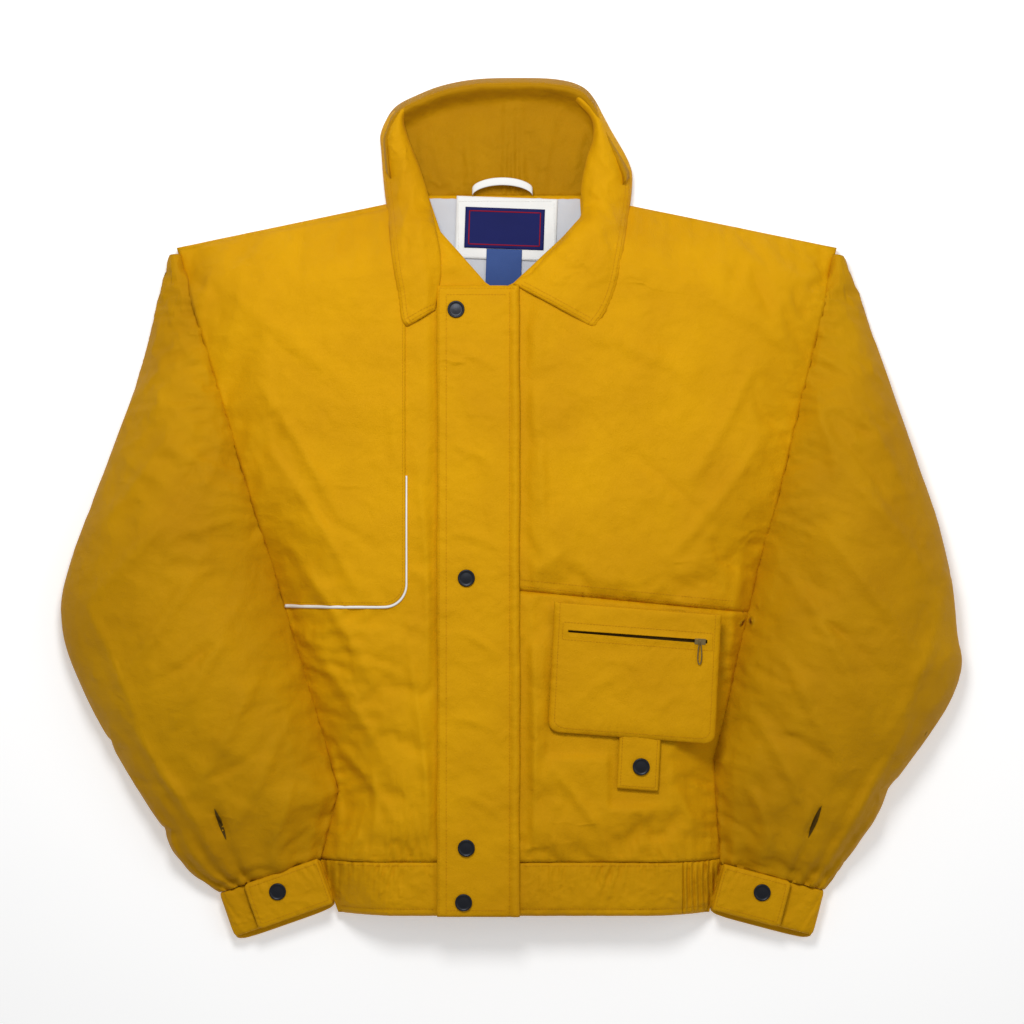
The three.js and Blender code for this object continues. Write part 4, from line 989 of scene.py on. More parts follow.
def rounded_rows(width, height, corner, rows, columns, low_only=True):
    """A grid in a rectangle whose lower corners are rounded: rows narrow towards the ends. low_only is not used."""
    v = np.concatenate([-height + corner * (1 - np.cos(np.linspace(0, np.pi / 2, 9, endpoint=False))),
                        np.linspace(-height + corner, 0, rows)])
    inset = np.zeros_like(v)
    low_part = v < -height + corner
    inset[low_part] = corner * (1 - np.sqrt(np.clip(1 - ((-height + corner - v[low_part]) / corner) ** 2, 0, 1)))
    t = np.linspace(0, 1, columns)[None, :]
    return inset[:, None] * (1 - t) + (width - inset[:, None]) * t, np.repeat(v[:, None], columns, axis=1)


pu, pv = rounded_rows(154, 122, 10, 88, 110)
pv = pv * 119.5 / 122 - 2.5
px, py = on_pocket(pu, pv)
pocket_top = high["pocket_flap"][2] / MM
pocket_z = pocket_top + 0.5 * ripple(pu, pv, 40, 91) + 0.3
SLIT_V, SLIT_U0, SLIT_U1 = -28.4, 14.0, 142.0
welt = np.exp(-(((pv - SLIT_V) / 4.5) ** 2)) * ease((pu - 8) / 6) * ease((148 - pu) / 6)
pocket_z = pocket_z + 1.2 * welt + pucker(pv - SLIT_V, pu, 92, width=8, pitch=9, height=0.4)
pocket_z = pocket_z + pucker(pv + 122, pu, 93, width=8, pitch=11, height=0.5) + pucker(pu, pv, 94, width=7, pitch=11, height=0.35)
pocket_grid = np.dstack([px, py, pocket_z])
for a, b, w, h in [((20, -100), (70, -60), 5, 0.9), ((90, -105), (130, -70), 5, 0.8), ((30, -50), (100, -62), 5, 0.7),
                   ((120, -60), (140, -110), 5, 0.7)]:
    pocket_grid = fold(pocket_grid, on_pocket(*a), on_pocket(*b), w, h, bow=3)
loose = np.minimum(np.minimum(pu, 154 - pu), pv + 122)
pocket_grid[..., 2] -= 3.3 * np.exp(-np.clip(loose, 0, None) / 6.0) * ease(-pv / 25)
under_pull = (pv < SLIT_V - 1.7) & (pv > SLIT_V - 20)
pocket_grid[under_pull, 2] = np.minimum(pocket_grid[under_pull, 2], pocket_top + 0.9)
pocket_grid = finish_edges(pocket_grid, 1.4, width=1.6)
pocket_obj = sheet_object("pocket_flap_cloth", pocket_grid, thickness=2.5)
cutter_uv = [(SLIT_U0, -1.1), (SLIT_U0 + 60, -1.5), (SLIT_U1, -1.7), (SLIT_U1, 1.7), (SLIT_U0 + 60, 1.3), (SLIT_U0, 0.9)]
cut_points = [(*on_pocket(u, SLIT_V + v), z) for z in (pocket_top - 12, pocket_top + 9) for u, v in cutter_uv]
cut_faces = [list(range(6)), list(range(6, 12))] + [[i, (i + 1) % 6, 6 + (i + 1) % 6, 6 + i] for i in range(6)]
cutter = make_object("slit_cutter", cut_points, cut_faces, smooth=False)
knife = pocket_obj.modifiers.new("Slit", "BOOLEAN")
knife.operation, knife.object, knife.solver = "DIFFERENCE", cutter, "EXACT"
cut_mesh = bpy.data.meshes.new_from_object(pocket_obj.evaluated_get(bpy.context.evaluated_depsgraph_get()))
pocket_obj.modifiers.clear()
pocket_obj.data = cut_mesh
bpy.data.objects.remove(cutter)
cut_mesh.shade_smooth()
dress(pocket_obj, SHELL) if not pocket_obj.data.materials else None
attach(pocket_obj, "pocket_flap")
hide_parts("pocket_flap")

tu, tv = np.meshgrid(np.linspace(10, 145, 60), np.linspace(SLIT_V - 6, SLIT_V + 6, 8))
tx, ty = on_pocket(tu, tv)
tape_z = high["pocket_zip_tape"][2] / MM
strip_grid = np.dstack([tx, ty, tape_z + 0.6 * np.exp(-(((tv - SLIT_V) / 1.6) ** 2))])
zip_tape = sheet_object("pocket_zip_strip", strip_grid, thickness=0.9)
dress(zip_tape, DARK_TAPE_AND_SLIT_SHADE)
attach(zip_tape, "pocket_flap")
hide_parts("pocket_zip_tape")

wu, wv = np.meshgrid(np.linspace(10, 144, 60), np.linspace(-107, -42, 34))
wx, wy = on_pocket(wu, wv)
pouch_top = high["pocket_pouch"][2] / MM
pouch_grid = np.dstack([wx, wy, np.full(wx.shape, pouch_top - 0.1) + 0.25 * ripple(wu, wv, 30, 95)])
pouch_grid = finish_edges(pouch_grid, 2.6, width=4)
pouch_obj = sheet_object("pocket_pouch_cloth", pouch_grid, thickness=3.0)
dress(pouch_obj, SHELL)
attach(pouch_obj, "root")
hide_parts("pocket_pouch")

au, av = np.meshgrid(np.linspace(66, 104, 26), np.linspace(-169, -108, 38))
ax_, ay_ = on_pocket(au, av)
tab_z = high["pocket_tab"][2] / MM
tab_grid = np.dstack([ax_, ay_, np.full(ax_.shape, tab_z) + 0.25 * ripple(au, av, 18, 96) * (av < -122)])
tab_grid = finish_edges(tab_grid, 1.1, width=1.4)
tab_obj = sheet_object("pocket_tab_cloth", tab_grid, thickness=2.0)
dress(tab_obj, SHELL)
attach(tab_obj, "pocket_flap")
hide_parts("pocket_tab")
print("storm flap and pocket")

# %% [markdown]
# ## Waistband and its elastic
# A doubled band at the hem. Its front parts are smooth padded strips with gathers at the seam, and
# at one side it is drawn in by elastic, which shows as close upright ribs.

# %% Waistband
def band_piece(name, node, x_from, x_to, material, ribs=0.0, columns=110):
    """A stretch of the front band between two edges given as functions of y."""
    y = np.linspace(HEM_Y, BAND_Y - 0.5, 26)
    flat = ruled(np.stack([x_from(y), y], axis=1), np.stack([x_to(y), y], axis=1), columns)
    x, yy = flat[..., 0], flat[..., 1]
    z = face_z(x, yy)
    middle = np.clip(np.sin(np.pi * (yy - HEM_Y) / (BAND_Y - HEM_Y)), 0, 1)
    z = z + 1.0 * middle + pucker(yy - BAND_Y, x, 101, width=20, pitch=8, height=2.0) * ease((BAND_Y - yy) / 4)
    z = z + pucker(yy - HEM_Y, x, 102, width=7, pitch=7, height=0.45) + 0.7 * ripple(x, yy, 28, 103) + crumple(x, yy, 30, 104, 1.2)
    if ribs:
        z = z + ribs * np.cos(2 * np.pi * (x + 0.5 * np.sin(yy / 8)) / 5.2) * middle**0.35
    z = z - 1.2 * np.exp(-(((yy - HEM_Y - 6.5) / 1.1) ** 2))
    z = z - 3.5 * np.exp(-(yy - HEM_Y) / 1.8) - 1.4 * np.exp(-((BAND_Y - yy) / 1.6))
    grid = np.dstack([flat, z])
    under = grid.copy()
    under[..., 2] = np.maximum(BACK_TOP + 0.6, np.minimum(face_z(x, yy) - 10.6, z - 1))
    obj = sheet_object(name, grid, under=under)
    dress(obj, material)
    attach(obj, "root")
    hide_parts(node)
    return obj


def elastic_edge(y):
    return side_reach("left", np.full_like(y, BAND_Y)) - 36.0


band_right = band_piece("waistband_front_right_strip", "waistband_front_right", lambda y: -side_reach("right", y) - 1.6,
                        lambda y: np.full_like(y, -18.0), BAND)
band_left = band_piece("waistband_front_left_strip", "waistband_front_left", lambda y: np.full_like(y, -6.0),
                       lambda y: elastic_edge(y) - 0.3, BAND)
elastic_left = band_piece("waist_elastic_left_strip", "waist_elastic_left", elastic_edge,
                          lambda y: side_reach("left", y) + 1.6, BAND, ribs=1.5, columns=90)


def back_band(name, node, x_from, x_to, ribs=0.0):
    y = np.linspace(HEM_Y, BAND_Y - 0.5, 20)
    flat = ruled(np.stack([x_from(y), y], axis=1), np.stack([x_to(y), y], axis=1), 120)
    x, yy = flat[..., 0], flat[..., 1]
    middle = np.clip(np.sin(np.pi * (yy - HEM_Y) / (BAND_Y - HEM_Y)), 0, 1) ** 0.4
    rib = ribs * np.cos(2 * np.pi * x / 5.2) * middle
    top = np.dstack([flat, 5.5 + 3.4 * middle + 0.4 * rib])
    bottom = np.dstack([flat, 4.6 - 3.6 * middle - 0.5 * rib])
    obj = sheet_object(name, top, under=bottom)
    dress(obj, BAND)
    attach(obj, "root")
    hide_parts(node)


back_band("waistband_back_strip", "waistband_back", lambda y: -side_reach("right", y) + 36.3, lambda y: side_reach("left", y) + 1.6)
back_band("waist_elastic_right_strip", "waist_elastic_right", lambda y: -side_reach("right", y) - 1.6,
          lambda y: -side_reach("right", y) + 36.0, ribs=0.9)
print("waistband made")

# %% [markdown]
# ## Cuffs
# A cuff is a flat padded band. The front end of it is a tab that laps over the rest and snaps shut,
# and the back of the cuff hangs a little lower than the front.

# %% Cuffs and their tabs
CUFF_TOP = high["cuff_right"][2] / MM


def on_cuff(side, u, v):
    s = SIDES[side]
    u, v = np.asarray(u, float), np.asarray(v, float) + 0.5
    cos, sin = math.cos(s["tilt"]), math.sin(s["tilt"])
    return (s["sign"] * (s["fold"][0][1] + 1 + u * cos - v * sin), s["fold"][0][0] - u * sin - v * cos)


def cuff_band(side):
    """Outer rings down the cuff, turned in at the mouth and back up inside."""
    around = 96
    angle = 2 * np.pi * np.arange(around) / around
    low_half = np.clip(-np.sin(angle), 0, 1) ** 0.5
    rings = []
    for v, draw, lip in [(0.3, 1.2, 0), (2, 0.4, 0), *[(v, 0, 0) for v in np.linspace(5, 36, 13)], (40, 0.3, 1), (42.3, 1.2, 1),
                         (42.8, 2.4, 1), (42, 3.6, 1), (34, 4.2, 1), (22, 4.4, 1), (12, 5, 1)]:
        half_u, half_z = 49.5 - draw, 9.8 - draw
        cu = 49.5 + half_u * np.sign(np.cos(angle)) * np.abs(np.cos(angle)) ** 0.45 * -1
        cz = 9.9 + half_z * np.sign(np.sin(angle)) * np.abs(np.sin(angle)) ** 0.55
        wave = 0.4 * np.sin(angle * 11 + v / 5) + 0.25 * np.sin(angle * 23 + v / 3)
        x, y = on_cuff(side, cu, v + (6.5 * low_half * (v / 43) if lip else 0))
        rings.append(np.column_stack([x, y, cz + wave * (draw < 3) * (cz > 3)]))
    grid = np.array(rings)
    grid[..., 2] = np.clip(grid[..., 2], 0.3, 21.2)
    return grid


cuff_objects, tab_objects, tab_grids = {}, {}, {}
TAB_ENDS = {"right": 74, "left": 66}
for side in ("right", "left"):
    obj = tube_object(f"cuff_{side}_band", cuff_band(side))
    dress(obj, BAND)
    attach(obj, f"sleeve_{side}")
    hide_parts(f"cuff_{side}")
    cuff_objects[side] = obj
    end = TAB_ENDS[side]
    u, v = np.meshgrid(np.linspace(1.5, end, 60), np.linspace(-1, 43, 34))
    pull_in = np.clip((u - end + 5) / 5, 0, 1)
    v = 21 + (v - 21) * (1 - 0.12 * pull_in**2)
    x, y = on_cuff(side, u, v)
    z = high[f"cuff_tab_{side}"][2] / MM + 0.4 * ripple(u, v, 20, 111 if side == "right" else 112)
    z = z + pucker(v, u, 113, width=9, pitch=8, height=0.8) * ease(v / 4) + 0.8 * np.sin(np.pi * np.clip(v / 43, 0, 1))
    grid = finish_edges(np.dstack([x, y, z]), 1.6, width=1.6)
    tab_grids[side] = grid
    obj = sheet_object(f"cuff_tab_{side}_cloth", grid, thickness=2.6)
    dress(obj, BAND)
    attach(obj, f"cuff_tab_{side}")
    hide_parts(f"cuff_tab_{side}")
    tab_objects[side] = obj
print("cuffs made")

# %% [markdown]
# ## Collar
# The collar stands at the back of the neck, where its gathered inner face shows, and rolls over at
# the sides into two leaves that lie on the fronts.

# %% Back of the collar
def collar_profile(points, count):
    curve = smooth_curve(points, 600)
    run = np.concatenate([[0], np.cumsum(np.linalg.norm(np.diff(curve, axis=0), axis=1))])
    at = np.linspace(0, run[-1], count)
    return np.column_stack([np.interp(at, run, curve[:, k]) for k in range(curve.shape[1])])


rim = collar_profile([(-119, 318), (-120.5, 336), (-120.5, 353), (-109, 371.5), (-85, 383), (-60, 391.5), (-30, 396.5),
                      (8, 397.5), (40, 396.5), (62, 391.5), (76, 381), (91, 357), (110.4, 322), (113, 312)], 150)
rim[:, 1] += 6.0 * ease((rim[:, 1] - 345) / 45)
foot = np.column_stack([np.linspace(-100, 95, 150), np.full(150, 292.8)])
flat = ruled(foot, rim, 50)
cx, cy = flat[..., 0], flat[..., 1]
t = np.linspace(0, 1, 50)[None, :] * np.ones((150, 1))
to_rim = (1 - t) * np.linalg.norm(rim - foot, axis=1)[:, None]
cz = 7.5 + 21.5 * np.exp(-(((to_rim - 10) / 8.5) ** 2)) - 9 * np.exp(-to_rim / 2.0) + 1.5 * np.sin(np.pi * t)
gather = np.exp(-t * 2.4)
lean = cx + 7 * t * np.sin(cx / 23)
pleats = np.sin(2 * np.pi * lean / 15 + 2.6 * np.sin(lean / 17) + 1.5 * np.sin(lean / 7.3))
cz = cz + 2.0 * gather * pleats * (0.6 + 0.4 * np.sin(cx / 12 + 1)) * ease(t / 0.06) + crumple(cx, cy, 45, 123, 1.6)
cz = cz + 0.9 * ripple(cx, cy, 38, 121, octaves=4) * np.sin(np.pi * np.clip(t * 1.05, 0, 1)) - 2 * np.exp(-t / 0.03)
collar_grid = np.dstack([flat, cz])
for a, b, w, h in [((-60, 300), (-75, 365), 5, 2.2), ((-35, 298), (-42, 372), 5, 2.0), ((-5, 310), (2, 380), 6, 1.6),
                   ((30, 300), (42, 372), 5, 2.0), ((55, 300), (70, 360), 5, 1.8), ((-20, 372), (40, 378), 4, 1.4)]:
    collar_grid = fold(collar_grid, a, b, w, h, bow=2)
collar_grid[..., 2] = np.maximum(collar_grid[..., 2], 5.6)
under = np.dstack([flat, 2.4 + 3.0 * np.exp(-to_rim / 4) + 0.3 * ripple(cx, cy, 50, 122)])
collar_obj = sheet_object("collar_back_band", collar_grid, under=under)
# painted shade: the collar's inner face takes the darkened collar cloth
dress(collar_obj, SHADED_COLLAR)
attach(collar_obj, "root")
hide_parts("collar_back")

# %% Collar leaves
LEAVES = {
    "right": dict(inner=[(-69.5, 184.5), (-66, 205), (-64, 222), (-65.5, 240), (-70, 262), (-77, 293.5), (-86, 322), (-96, 348), (-98, 366), (-80, 377)],
                  outer=[(-95.7, 168.8), (-100.6, 176), (-104, 200), (-108.6, 226), (-114, 270), (-117.8, 299), (-120.5, 332), (-120.8, 352), (-109, 371.5), (-82, 384.5)]),
    "left": dict(inner=[(2, 208.5), (22, 229), (44, 249.5), (60, 264), (65.5, 278), (65, 300), (70, 326), (76, 346), (74, 364), (60, 380)],
                 outer=[(76.4, 168), (88, 184), (96.5, 205), (102, 232), (107.6, 263), (112.6, 300), (110.4, 322), (93, 354), (79, 378), (62, 391)]),
}
leaf_objects, leaf_grids = {}, {}
for side, edges in LEAVES.items():
    inner, outer = collar_profile(edges["inner"], 120), collar_profile(edges["outer"], 120)
    flat = ruled(inner, outer, 44)
    x, y = flat[..., 0], flat[..., 1]
    t = np.linspace(0, 1, 44)[None, :] * np.ones((120, 1))
    base_low = height_on(CHEST_TREE, x, y, 12.0)
    for _ in range(8):
        pad = np.pad(base_low, 1, mode="edge")
        base_low = (pad[2:, 1:-1] + pad[:-2, 1:-1] + pad[1:-1, 2:] + pad[1:-1, :-2] + 2 * base_low) / 6
    blend_up = ease((y - 262) / 34)
    base = base_low * (1 - blend_up) + 14.0 * blend_up
    lift_low = 2.0 if side == "right" else 1.6
    height = (4.5 + 15.0 * ease((y - 215) / 75)) * (1 - 0.35 * ease((y - 345) / 35))
    z = base + lift_low + height * np.sin(np.pi * np.clip(0.06 + 0.94 * t, 0, 1)) ** 0.75 * (1 - 0.25 * t)
    z = z + 3.0 * np.exp(-t / 0.16) * ease((y - 225) / 30)
    z = z + crumple(x, y, 42, 133, 1.3) + 0.6 * ripple(x, y, 30, 131, octaves=4) + pucker((1 - t) * 44, y, 132, width=7, pitch=8, height=0.5)
    grid = np.dstack([flat, z])
    if side == "right":
        folds = [((-98, 330), (-108, 280), 4, 1.6), ((-90, 300), (-104, 250), 4, 1.6), ((-80, 270), (-98, 220), 4, 1.4), ((-112, 350), (-118, 310), 4, 1.2)]
    else:
        folds = [((78, 330), (102, 300), 4, 1.6), ((74, 300), (100, 262), 4, 1.6), ((70, 272), (92, 232), 4, 1.4), ((50, 250), (80, 210), 4, 1.0)]
    for a, b, w, h in folds:
        grid = fold(grid, a, b, w, h, bow=2)
    grid = finish_edges(grid, 1.8, width=2.0)
    leaf_grids[side] = grid
    obj = sheet_object(f"collar_leaf_{side}_cloth", grid, thickness=3.0)
    dress(obj, SHELL)
    y1, y0 = (300 + shift[1]) * MM, (270 + shift[1]) * MM
    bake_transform(obj)
    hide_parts(f"collar_leaf_{side}")
    leaf_objects[side] = obj
print("collar made")

# %% [markdown]
# ## Inside the neck
# A white patch, a navy woven label with a red woven line round it and a blue care label hang below the neck seam, and a
# white tape loop is sewn across it. The labels are blank. The loop is a tape 7 mm wide.

# %% Labels and loop
def askew(grid, turn=-0.035):
    """Turns a sewn-in label a little about the middle of the neck, as sewn by hand."""
    grid = grid.copy()
    x, y = grid[..., 0] + 5, grid[..., 1] - 262
    grid[..., 0] = x * math.cos(turn) - y * math.sin(turn) - 5
    grid[..., 1] = x * math.sin(turn) + y * math.cos(turn) + 262
    return grid


def label(name, node, material, inset=0.0, rows=24, columns=40, wave=0.15, raise_by=0.0, seed=141):
    lo, hi = low[node] / MM, high[node] / MM
    gx, gy = np.meshgrid(np.linspace(lo[0] + inset, hi[0] - inset, columns), np.linspace(lo[1] + inset, hi[1] - inset, rows))
    gx, gy = gx - shift[0], gy - shift[1]
    z = np.full(gx.shape, hi[2]) + raise_by + wave * ripple(gx, gy, 25, seed)
    grid = askew(finish_edges(np.dstack([gx, gy, z]), 0.15, width=1.0))
    obj = sheet_object(name, grid, thickness=0.45)
    dress(obj, material)
    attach(obj, "root")
    if node and not inset:
        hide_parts(node)
    return obj


label("neck_patch_cloth", "neck_patch", WHITE, seed=141)
label("neck_label_cloth", "neck_label", NAVY, seed=142, wave=0.1)
lo, hi = low["neck_label"] / MM, high["neck_label"] / MM
cords, cord_faces = [], []
corners = [(lo[0] + 4, lo[1] + 3.5), (hi[0] - 4, lo[1] + 3.5), (hi[0] - 4, hi[1] - 3.5), (lo[0] + 4, hi[1] - 3.5)]
for (ax, ay), (bx_, by_) in zip(corners, corners[1:] + corners[:1]):
    line = np.column_stack([np.linspace(ax, bx_, 24) - shift[0], np.linspace(ay, by_, 24) - shift[1], np.full(24, hi[2] + 0.05)])
    v, f = tube_along(askew(line[None])[0], 0.55, sides=6)
    cord_faces += [[len(cords) + i for i in face] for face in f]
    cords += list(v)
edging = make_object("neck_label_edging", np.array(cords), cord_faces)
dress(edging, RED)
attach(edging, "root")
label("care_label_cloth", "care_label", BLUE, seed=143)

lo, hi = low["hanger_loop"] / MM, high["hanger_loop"] / MM
lx = np.linspace(lo[0], hi[0], 60) - shift[0]
across = np.linspace(-0.5, 0.5, 8)
s = (lx - lx[0]) / (lx[-1] - lx[0])
bow = 9.0 * (1 - (2 * s - 1) ** 2) ** 0.6
loop_y = (lo[1] + hi[1]) / 2 - shift[1] - 4 + bow
loop_z = lo[2] + 1.0 + (hi[2] - lo[2] - 1.5) * np.sin(np.pi * s) ** 0.5
loop_grid = np.dstack([np.repeat(lx[:, None], 8, axis=1), loop_y[:, None] + across[None, :] * 7.0,
                       loop_z[:, None] + 0.3 * np.cos(across[None, :] * np.pi) * np.ones((60, 1))])
loop_obj = sheet_object("hanger_loop_tape", loop_grid, thickness=1.1)
dress(loop_obj, WHITE)
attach(loop_obj, "root")
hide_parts("hanger_loop")
print("labels and loop")

# %% [markdown]
# ## Snaps
# Turned metal caps: a flat face with a raised rim and a slightly dished middle.

# %% Snap caps
def lathe(profile, sides=40):
    """Vertices and faces of a closed turned shape from (radius, height) points, axis at both ends."""
    rings, faces = [], []
    angle = 2 * np.pi * np.arange(sides) / sides
    for r, z in profile[1:-1]:
        rings.append(np.column_stack([r * np.cos(angle), r * np.sin(angle), np.full(sides, z)]))
    vertices = np.vstack(rings + [[[0, 0, profile[0][1]]], [[0, 0, profile[-1][1]]]])
    faces = [list(f) for f in grid_faces(len(rings), sides, closed=True)]
    low_i, high_i = len(rings) * sides, len(rings) * sides + 1
    for c in range(sides):
        d = (c + 1) % sides
        faces += [[low_i, d, c], [high_i, (len(rings) - 1) * sides + c, (len(rings) - 1) * sides + d]]
    return vertices, faces


CAPS = {"neck": "storm_flap", "chest": "storm_flap", "waist": "storm_flap", "hem": "storm_flap", "pocket": "pocket_flap",
        "cuff_right": "cuff_tab_right", "cuff_left": "cuff_tab_left"}
for name, body in CAPS.items():
    node = f"snap_cap_{name}"
    lo, hi = low[node] / MM, high[node] / MM
    centre = (lo + hi) / 2
    r, bottom = (hi[0] - lo[0]) / 2, hi[2] - 3.1
    profile = [(0, bottom), (r * 0.95, bottom), (r, bottom + 0.5), (r, bottom + 1.9), (r * 0.97, bottom + 2.5), (r * 0.90, bottom + 2.85),
               (r * 0.83, bottom + 2.75), (r * 0.78, bottom + 2.35), (r * 0.6, bottom + 2.45), (r * 0.3, bottom + 2.7), (0, bottom + 2.8)]
    vertices, faces = lathe(profile)
    vertices = vertices + [centre[0] - shift[0], centre[1] - shift[1], 0]
    cap = make_object(f"cap_{name}", vertices, faces)
    dress(cap, SNAP)
    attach(cap, body)
    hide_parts(node)
for node in [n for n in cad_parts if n.startswith("snap_stud")]:
    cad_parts[node].data.materials[0] = SNAP
lo, hi = low["pocket_pull"] / MM, high["pocket_pull"] / MM
turn_round = np.linspace(0, 2 * np.pi, 49)[:-1]
drop = (1 - np.cos(turn_round)) / 2
ring_x = (lo[0] + hi[0]) / 2 - shift[0] + 0.6 * (1 - drop) + 2.4 * np.sin(turn_round) * (0.35 + 0.65 * drop)
ring_y = hi[1] - shift[1] - 1.2 - drop * (hi[1] - lo[1] - 2.6)
ring = np.column_stack([ring_x, ring_y, np.full(48, (lo[2] + hi[2]) / 2)])
v, f = tube_along(np.vstack([ring, ring[:1]]), 0.6, sides=8)
pull = make_object("pocket_pull_wire", v, f)
dress(pull, BRASS)
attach(pull, "pocket_pull")
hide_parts("pocket_pull")
for node in ("zip_slider", "zip_pull", "pocket_slider"):
    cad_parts[node].data.materials[0] = BRASS


def zip_half(side, inner):
    """Half of the front zip: a woven tape with the coil sewn along its inner edge (0 = low x, 1 = high x)."""
    node = f"zip_tape_{side}"
    lo, hi = low[node] / MM, high[node] / MM
    t = np.linspace(0, 1, 12)
    t = t**1.4 if inner == 0 else 1 - (1 - t) ** 1.4
    x, y = np.meshgrid(lo[0] + t * (hi[0] - lo[0]), np.arange(lo[1], hi[1], 0.38))
    from_edge = np.abs(x - (lo, hi)[inner][0])
    coil = np.clip(1 - ((from_edge - 1.1) / 1.15) ** 2, 0, 1) ** 0.5
    z = lo[2] + 1.0 + 1.5 * coil * (0.8 + 0.2 * np.cos(2 * np.pi * y / 1.52))
    grid = np.dstack([x - shift[0], y - shift[1], z])
    under = grid.copy()
    under[..., 2] = lo[2]
    obj = sheet_object(f"zip_half_{side}", grid, under=under)
    dress(obj, DARK_TAPE_AND_SLIT_SHADE)
    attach(obj, "root")
    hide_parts(node)


zip_half("right", 1)
zip_half("left", 0)
print(len(CAPS), "snap caps")

# %% [markdown]
# ## Topstitching
# Every edge is topstitched, most of them twice. Each stitch is a small thread lying in the cloth,
# laid on the finished surface, about nine to the inch.

# %% Stitches
def stitch_rows(name, tree, lines, body, thread=None, pitch=2.9, blend_like=None):
    """Thread dashes along lines of pattern points, laid on a surface, as one piece."""
    vertices, faces = [], []
    for line in lines:
        line = np.asarray(line, float)[:, :2]
        run = np.concatenate([[0], np.cumsum(np.linalg.norm(np.diff(line, axis=0), axis=1))])
        for k in range(int(run[-1] / pitch)):
            ends = []
            for at in (k * pitch + 0.35, (k + 1) * pitch - 0.35):
                ends.append([np.interp(at, run, line[:, 0]), np.interp(at, run, line[:, 1])])
            a, b = np.array(ends[0]), np.array(ends[1])
            pts = np.array([a, a * 0.75 + b * 0.25, (a + b) / 2, a * 0.25 + b * 0.75, b])
            z = height_on(tree, pts[:, 0], pts[:, 1], -99)
            if z.min() < -50:
                continue
            z = z + np.array([-0.18, 0.12, 0.2, 0.12, -0.18])
            v, f = tube_along(np.column_stack([pts, z]), 0.26, sides=5)
            start = len(vertices)
            vertices += list(v)
            faces += [[start + i for i in face] for face in f]
    obj = make_object(name, np.array(vertices), faces)
    dress(obj, thread or THREAD)
    if blend_like:
        a, b, start, end = blend_like
        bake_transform(obj)
    else:
        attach(obj, body)
    print(f"  {name}: {len(faces) // 30} stitches")
    return obj


def straight(x0, y0, x1, y1, count=40):
    return np.column_stack([np.linspace(x0, x1, count), np.linspace(y0, y1, count)])


def inset_line(grid_line, towards, by):
    """A grid's edge line moved inwards by a distance."""
    a, b = grid_line[:, :2], towards[:, :2]
    d = b - a
    return a + d / np.linalg.norm(d, axis=1, keepdims=True) * by


flap_tree = surface_of(flap_obj)
stitch_rows("storm_flap_stitches", flap_tree, [
    straight(FLAP_LEFT + 2, HEM_Y + 3, FLAP_LEFT + 2, VEE_Y - 3, 80), straight(FLAP_LEFT + 8.5, HEM_Y + 3, FLAP_LEFT + 8.5, VEE_Y - 9, 80),
    straight(FLAP_LEFT + 8.5, VEE_Y - 9, -2, VEE_Y - 9), straight(FLAP_LEFT + 2, VEE_Y - 3, 6, VEE_Y - 3),
    straight(-1.2, HEM_Y + 3, -1.2, VEE_Y - 4, 80), straight(FLAP_LEFT + 8.5, HEM_Y + 6, -2, HEM_Y + 6)], "storm_flap")
pocket_tree = surface_of(pocket_obj)
border = np.array([(5.5, 0), (5.5, -112), (9, -116), (15, -117.5), (139, -117.5), (145, -116), (148.5, -112), (148.5, 0)], float)
border = np.column_stack(on_pocket(border[:, 0], border[:, 1]))
welt_box = np.array([(9, 8), (9, -8), (147, -8), (147, 8), (9, 8)], float) + [0, SLIT_V]
welt_box = np.column_stack(on_pocket(welt_box[:, 0], welt_box[:, 1]))
stitch_rows("pocket_stitches", pocket_tree, [border, welt_box,
            np.column_stack(on_pocket(np.linspace(3, 151, 40), np.full(40, -3.0)))], "pocket_flap")
tab_tree = surface_of(tab_obj)
tab_border = np.array([(69, -112), (69, -166), (101, -166), (101, -112)], float)
stitch_rows("pocket_tab_stitches", tab_tree, [np.column_stack(on_pocket(tab_border[:, 0], tab_border[:, 1]))], "pocket_flap")
cross = lambda lift_: straight(FLAP_RIGHT + 1, SEAM_ZIP_Y + lift_, 206, SEAM_SIDE_Y + lift_ + 2, 60)
stitch_rows("cross_seam_stitches", surface_of(*[front_objects[n] for n in front_objects if "left" in n]), [cross(3.0), cross(9.0)], "root")
stitch_rows("chest_panel_stitches", CHEST_TREE, [
    straight(CHEST_X - 2.5, 262, CHEST_X - 2.5, CHEST_Y + CORNER, 60),
    np.column_stack([CHEST_X - 2.5 - CORNER + 2 + (CORNER - 2) * np.cos(turn), CHEST_Y + CORNER - (CORNER - 3) * np.sin(turn)]),
    straight(CHEST_X - CORNER - 1, CHEST_Y + 3, -207, CHEST_Y + 3)], "root")
band_tree = surface_of(band_right, band_left, elastic_left)
stitch_rows("waistband_stitches", band_tree, [straight(-158, HEM_Y + 7, FLAP_LEFT - 2, HEM_Y + 7), straight(FLAP_RIGHT + 2, HEM_Y + 7, 180, HEM_Y + 7),
            straight(FLAP_RIGHT + 2, BAND_Y - 3.5, 154, BAND_Y - 3.5), straight(-160, BAND_Y - 3.5, FLAP_LEFT - 2, BAND_Y - 3.5)], "root")
for side, grid in leaf_grids.items():
    edge_line, towards = grid[:76, -1], grid[:76, -6]
    end_line = grid[0, :, :], grid[4, :, :]
    lines = [inset_line(edge_line, towards, by) for by in (3.0, 6.5)] + [inset_line(end_line[0], end_line[1], by)[3:-3] for by in (3.0, 6.5)]
    y1, y0 = (300 + shift[1]) * MM, (270 + shift[1]) * MM
    stitch_rows(f"collar_leaf_{side}_stitches", surface_of(leaf_objects[side]), lines, None,
                blend_like=("root", f"collar_leaf_{side}", (0, y1, 0.03), (0, y0, 0.03)))
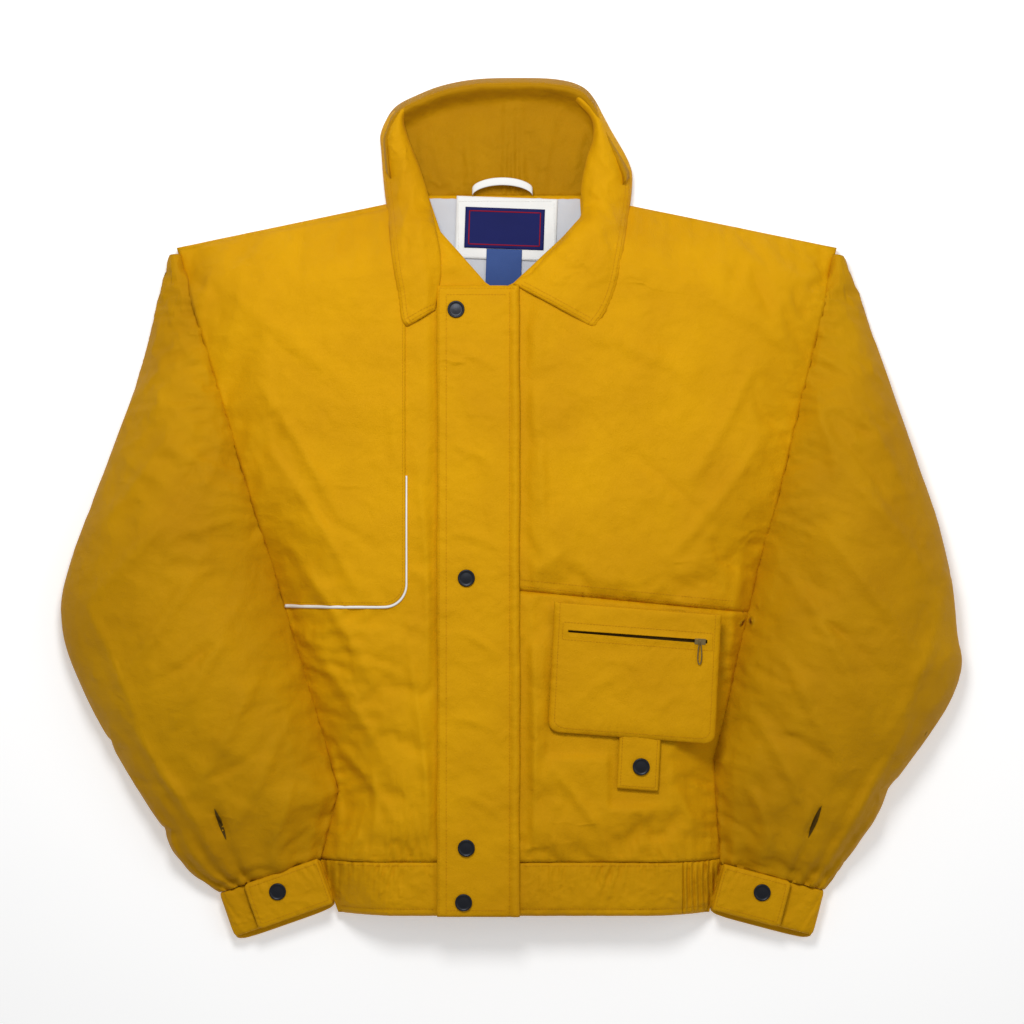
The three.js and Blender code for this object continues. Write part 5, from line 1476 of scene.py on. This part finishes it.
for side in ("right", "left"):
    end = TAB_ENDS[side]
    path = np.array([(4, 3), (end - 4, 3), (end - 3.5, 22), (end - 4, 38.5), (4, 38.5), (4, 3)], float)
    stitch_rows(f"cuff_tab_{side}_stitches", surface_of(tab_objects[side]), [np.column_stack(on_cuff(side, path[:, 0], path[:, 1]))], f"cuff_tab_{side}")
rim_in = inset_line(rim, foot, 8.0)
stitch_rows("collar_back_stitches", surface_of(collar_obj), [rim_in[20:-20]], "root")
stitch_rows("neck_patch_stitches", surface_of(bpy.data.objects["neck_patch_cloth"]),
            [straight(-49, 288, 40, 288), straight(-49, 234, 40, 234), straight(-49, 234, -49, 288), straight(40, 234, 40, 288)],
            "root", thread=PALE_THREAD)


# %% [markdown]
# ## The table it lies on, light and camera
# The jacket lies on a pale surface under broad, soft light, and is seen from straight above.

# %% Floor, light and camera
def make_floor():
    side = 3000.0
    steps = np.linspace(-side, side, 5)
    points = [(x, y, -0.4 - (0.0 if abs(x) + abs(y) < side else 0.2)) for y in steps for x in steps]
    obj = make_object("table_top", np.array(points), grid_faces(5, 5), solid=False)
    material = bpy.data.materials.new("pale_table")
    material.use_nodes = True
    tree = material.node_tree
    shader = tree.nodes["Principled BSDF"]
    place = tree.nodes.new("ShaderNodeTexCoord")
    grain = add_node(tree, "ShaderNodeTexNoise", Scale=3.0, Detail=2.0)
    span = add_node(tree, "ShaderNodeMapRange", To_Min=0.88, To_Max=0.90)
    shader.inputs["Roughness"].default_value = 0.9
    shader.inputs["Specular IOR Level"].default_value = 0.1
    shader.inputs["Emission Color"].default_value = (1, 1, 1, 1)
    shader.inputs["Emission Strength"].default_value = 0.32
    tree.links.new(place.outputs["Object"], grain.inputs["Vector"])
    tree.links.new(grain.outputs[0], span.inputs["Value"])
    tree.links.new(span.outputs[0], shader.inputs["Base Color"])
    dress(obj, material)


def make_light(name, place, aim, size, power):
    data = bpy.data.lights.new(name, "AREA")
    data.shape = "DISK"
    data.size = size
    data.energy = power
    lamp = bpy.data.objects.new(name, data)
    lamp.location = place
    lamp.rotation_euler = (Vector(aim) - Vector(place)).to_track_quat("-Z", "Y").to_euler()
    bpy.context.scene.collection.objects.link(lamp)


make_floor()
make_light("window_light", (-0.1, 0.55, 1.05), (0, 0.05, 0), 0.4, 8.8)
make_light("fill_light", (1.5, 0.3, 1.6), (0, 0, 0), 1.2, 5)
world = bpy.data.worlds.new("studio")
world.use_nodes = True
world.node_tree.nodes["Background"].inputs["Color"].default_value = (1, 1, 1, 1)
world.node_tree.nodes["Background"].inputs["Strength"].default_value = 0.38
bpy.context.scene.world = world
bpy.context.scene.view_settings.view_transform = "Standard"

HEIGHT, FIELD, AIM_Z = 3.0, 0.94208, 0.045
camera_data = bpy.data.cameras.new("overhead")
camera_data.sensor_width = 36
camera_data.lens = 36 * (HEIGHT - AIM_Z) / FIELD
camera = bpy.data.objects.new("overhead", camera_data)
camera.location = (0.0019, -0.0024, HEIGHT)
bpy.context.scene.collection.objects.link(camera)
bpy.context.scene.camera = camera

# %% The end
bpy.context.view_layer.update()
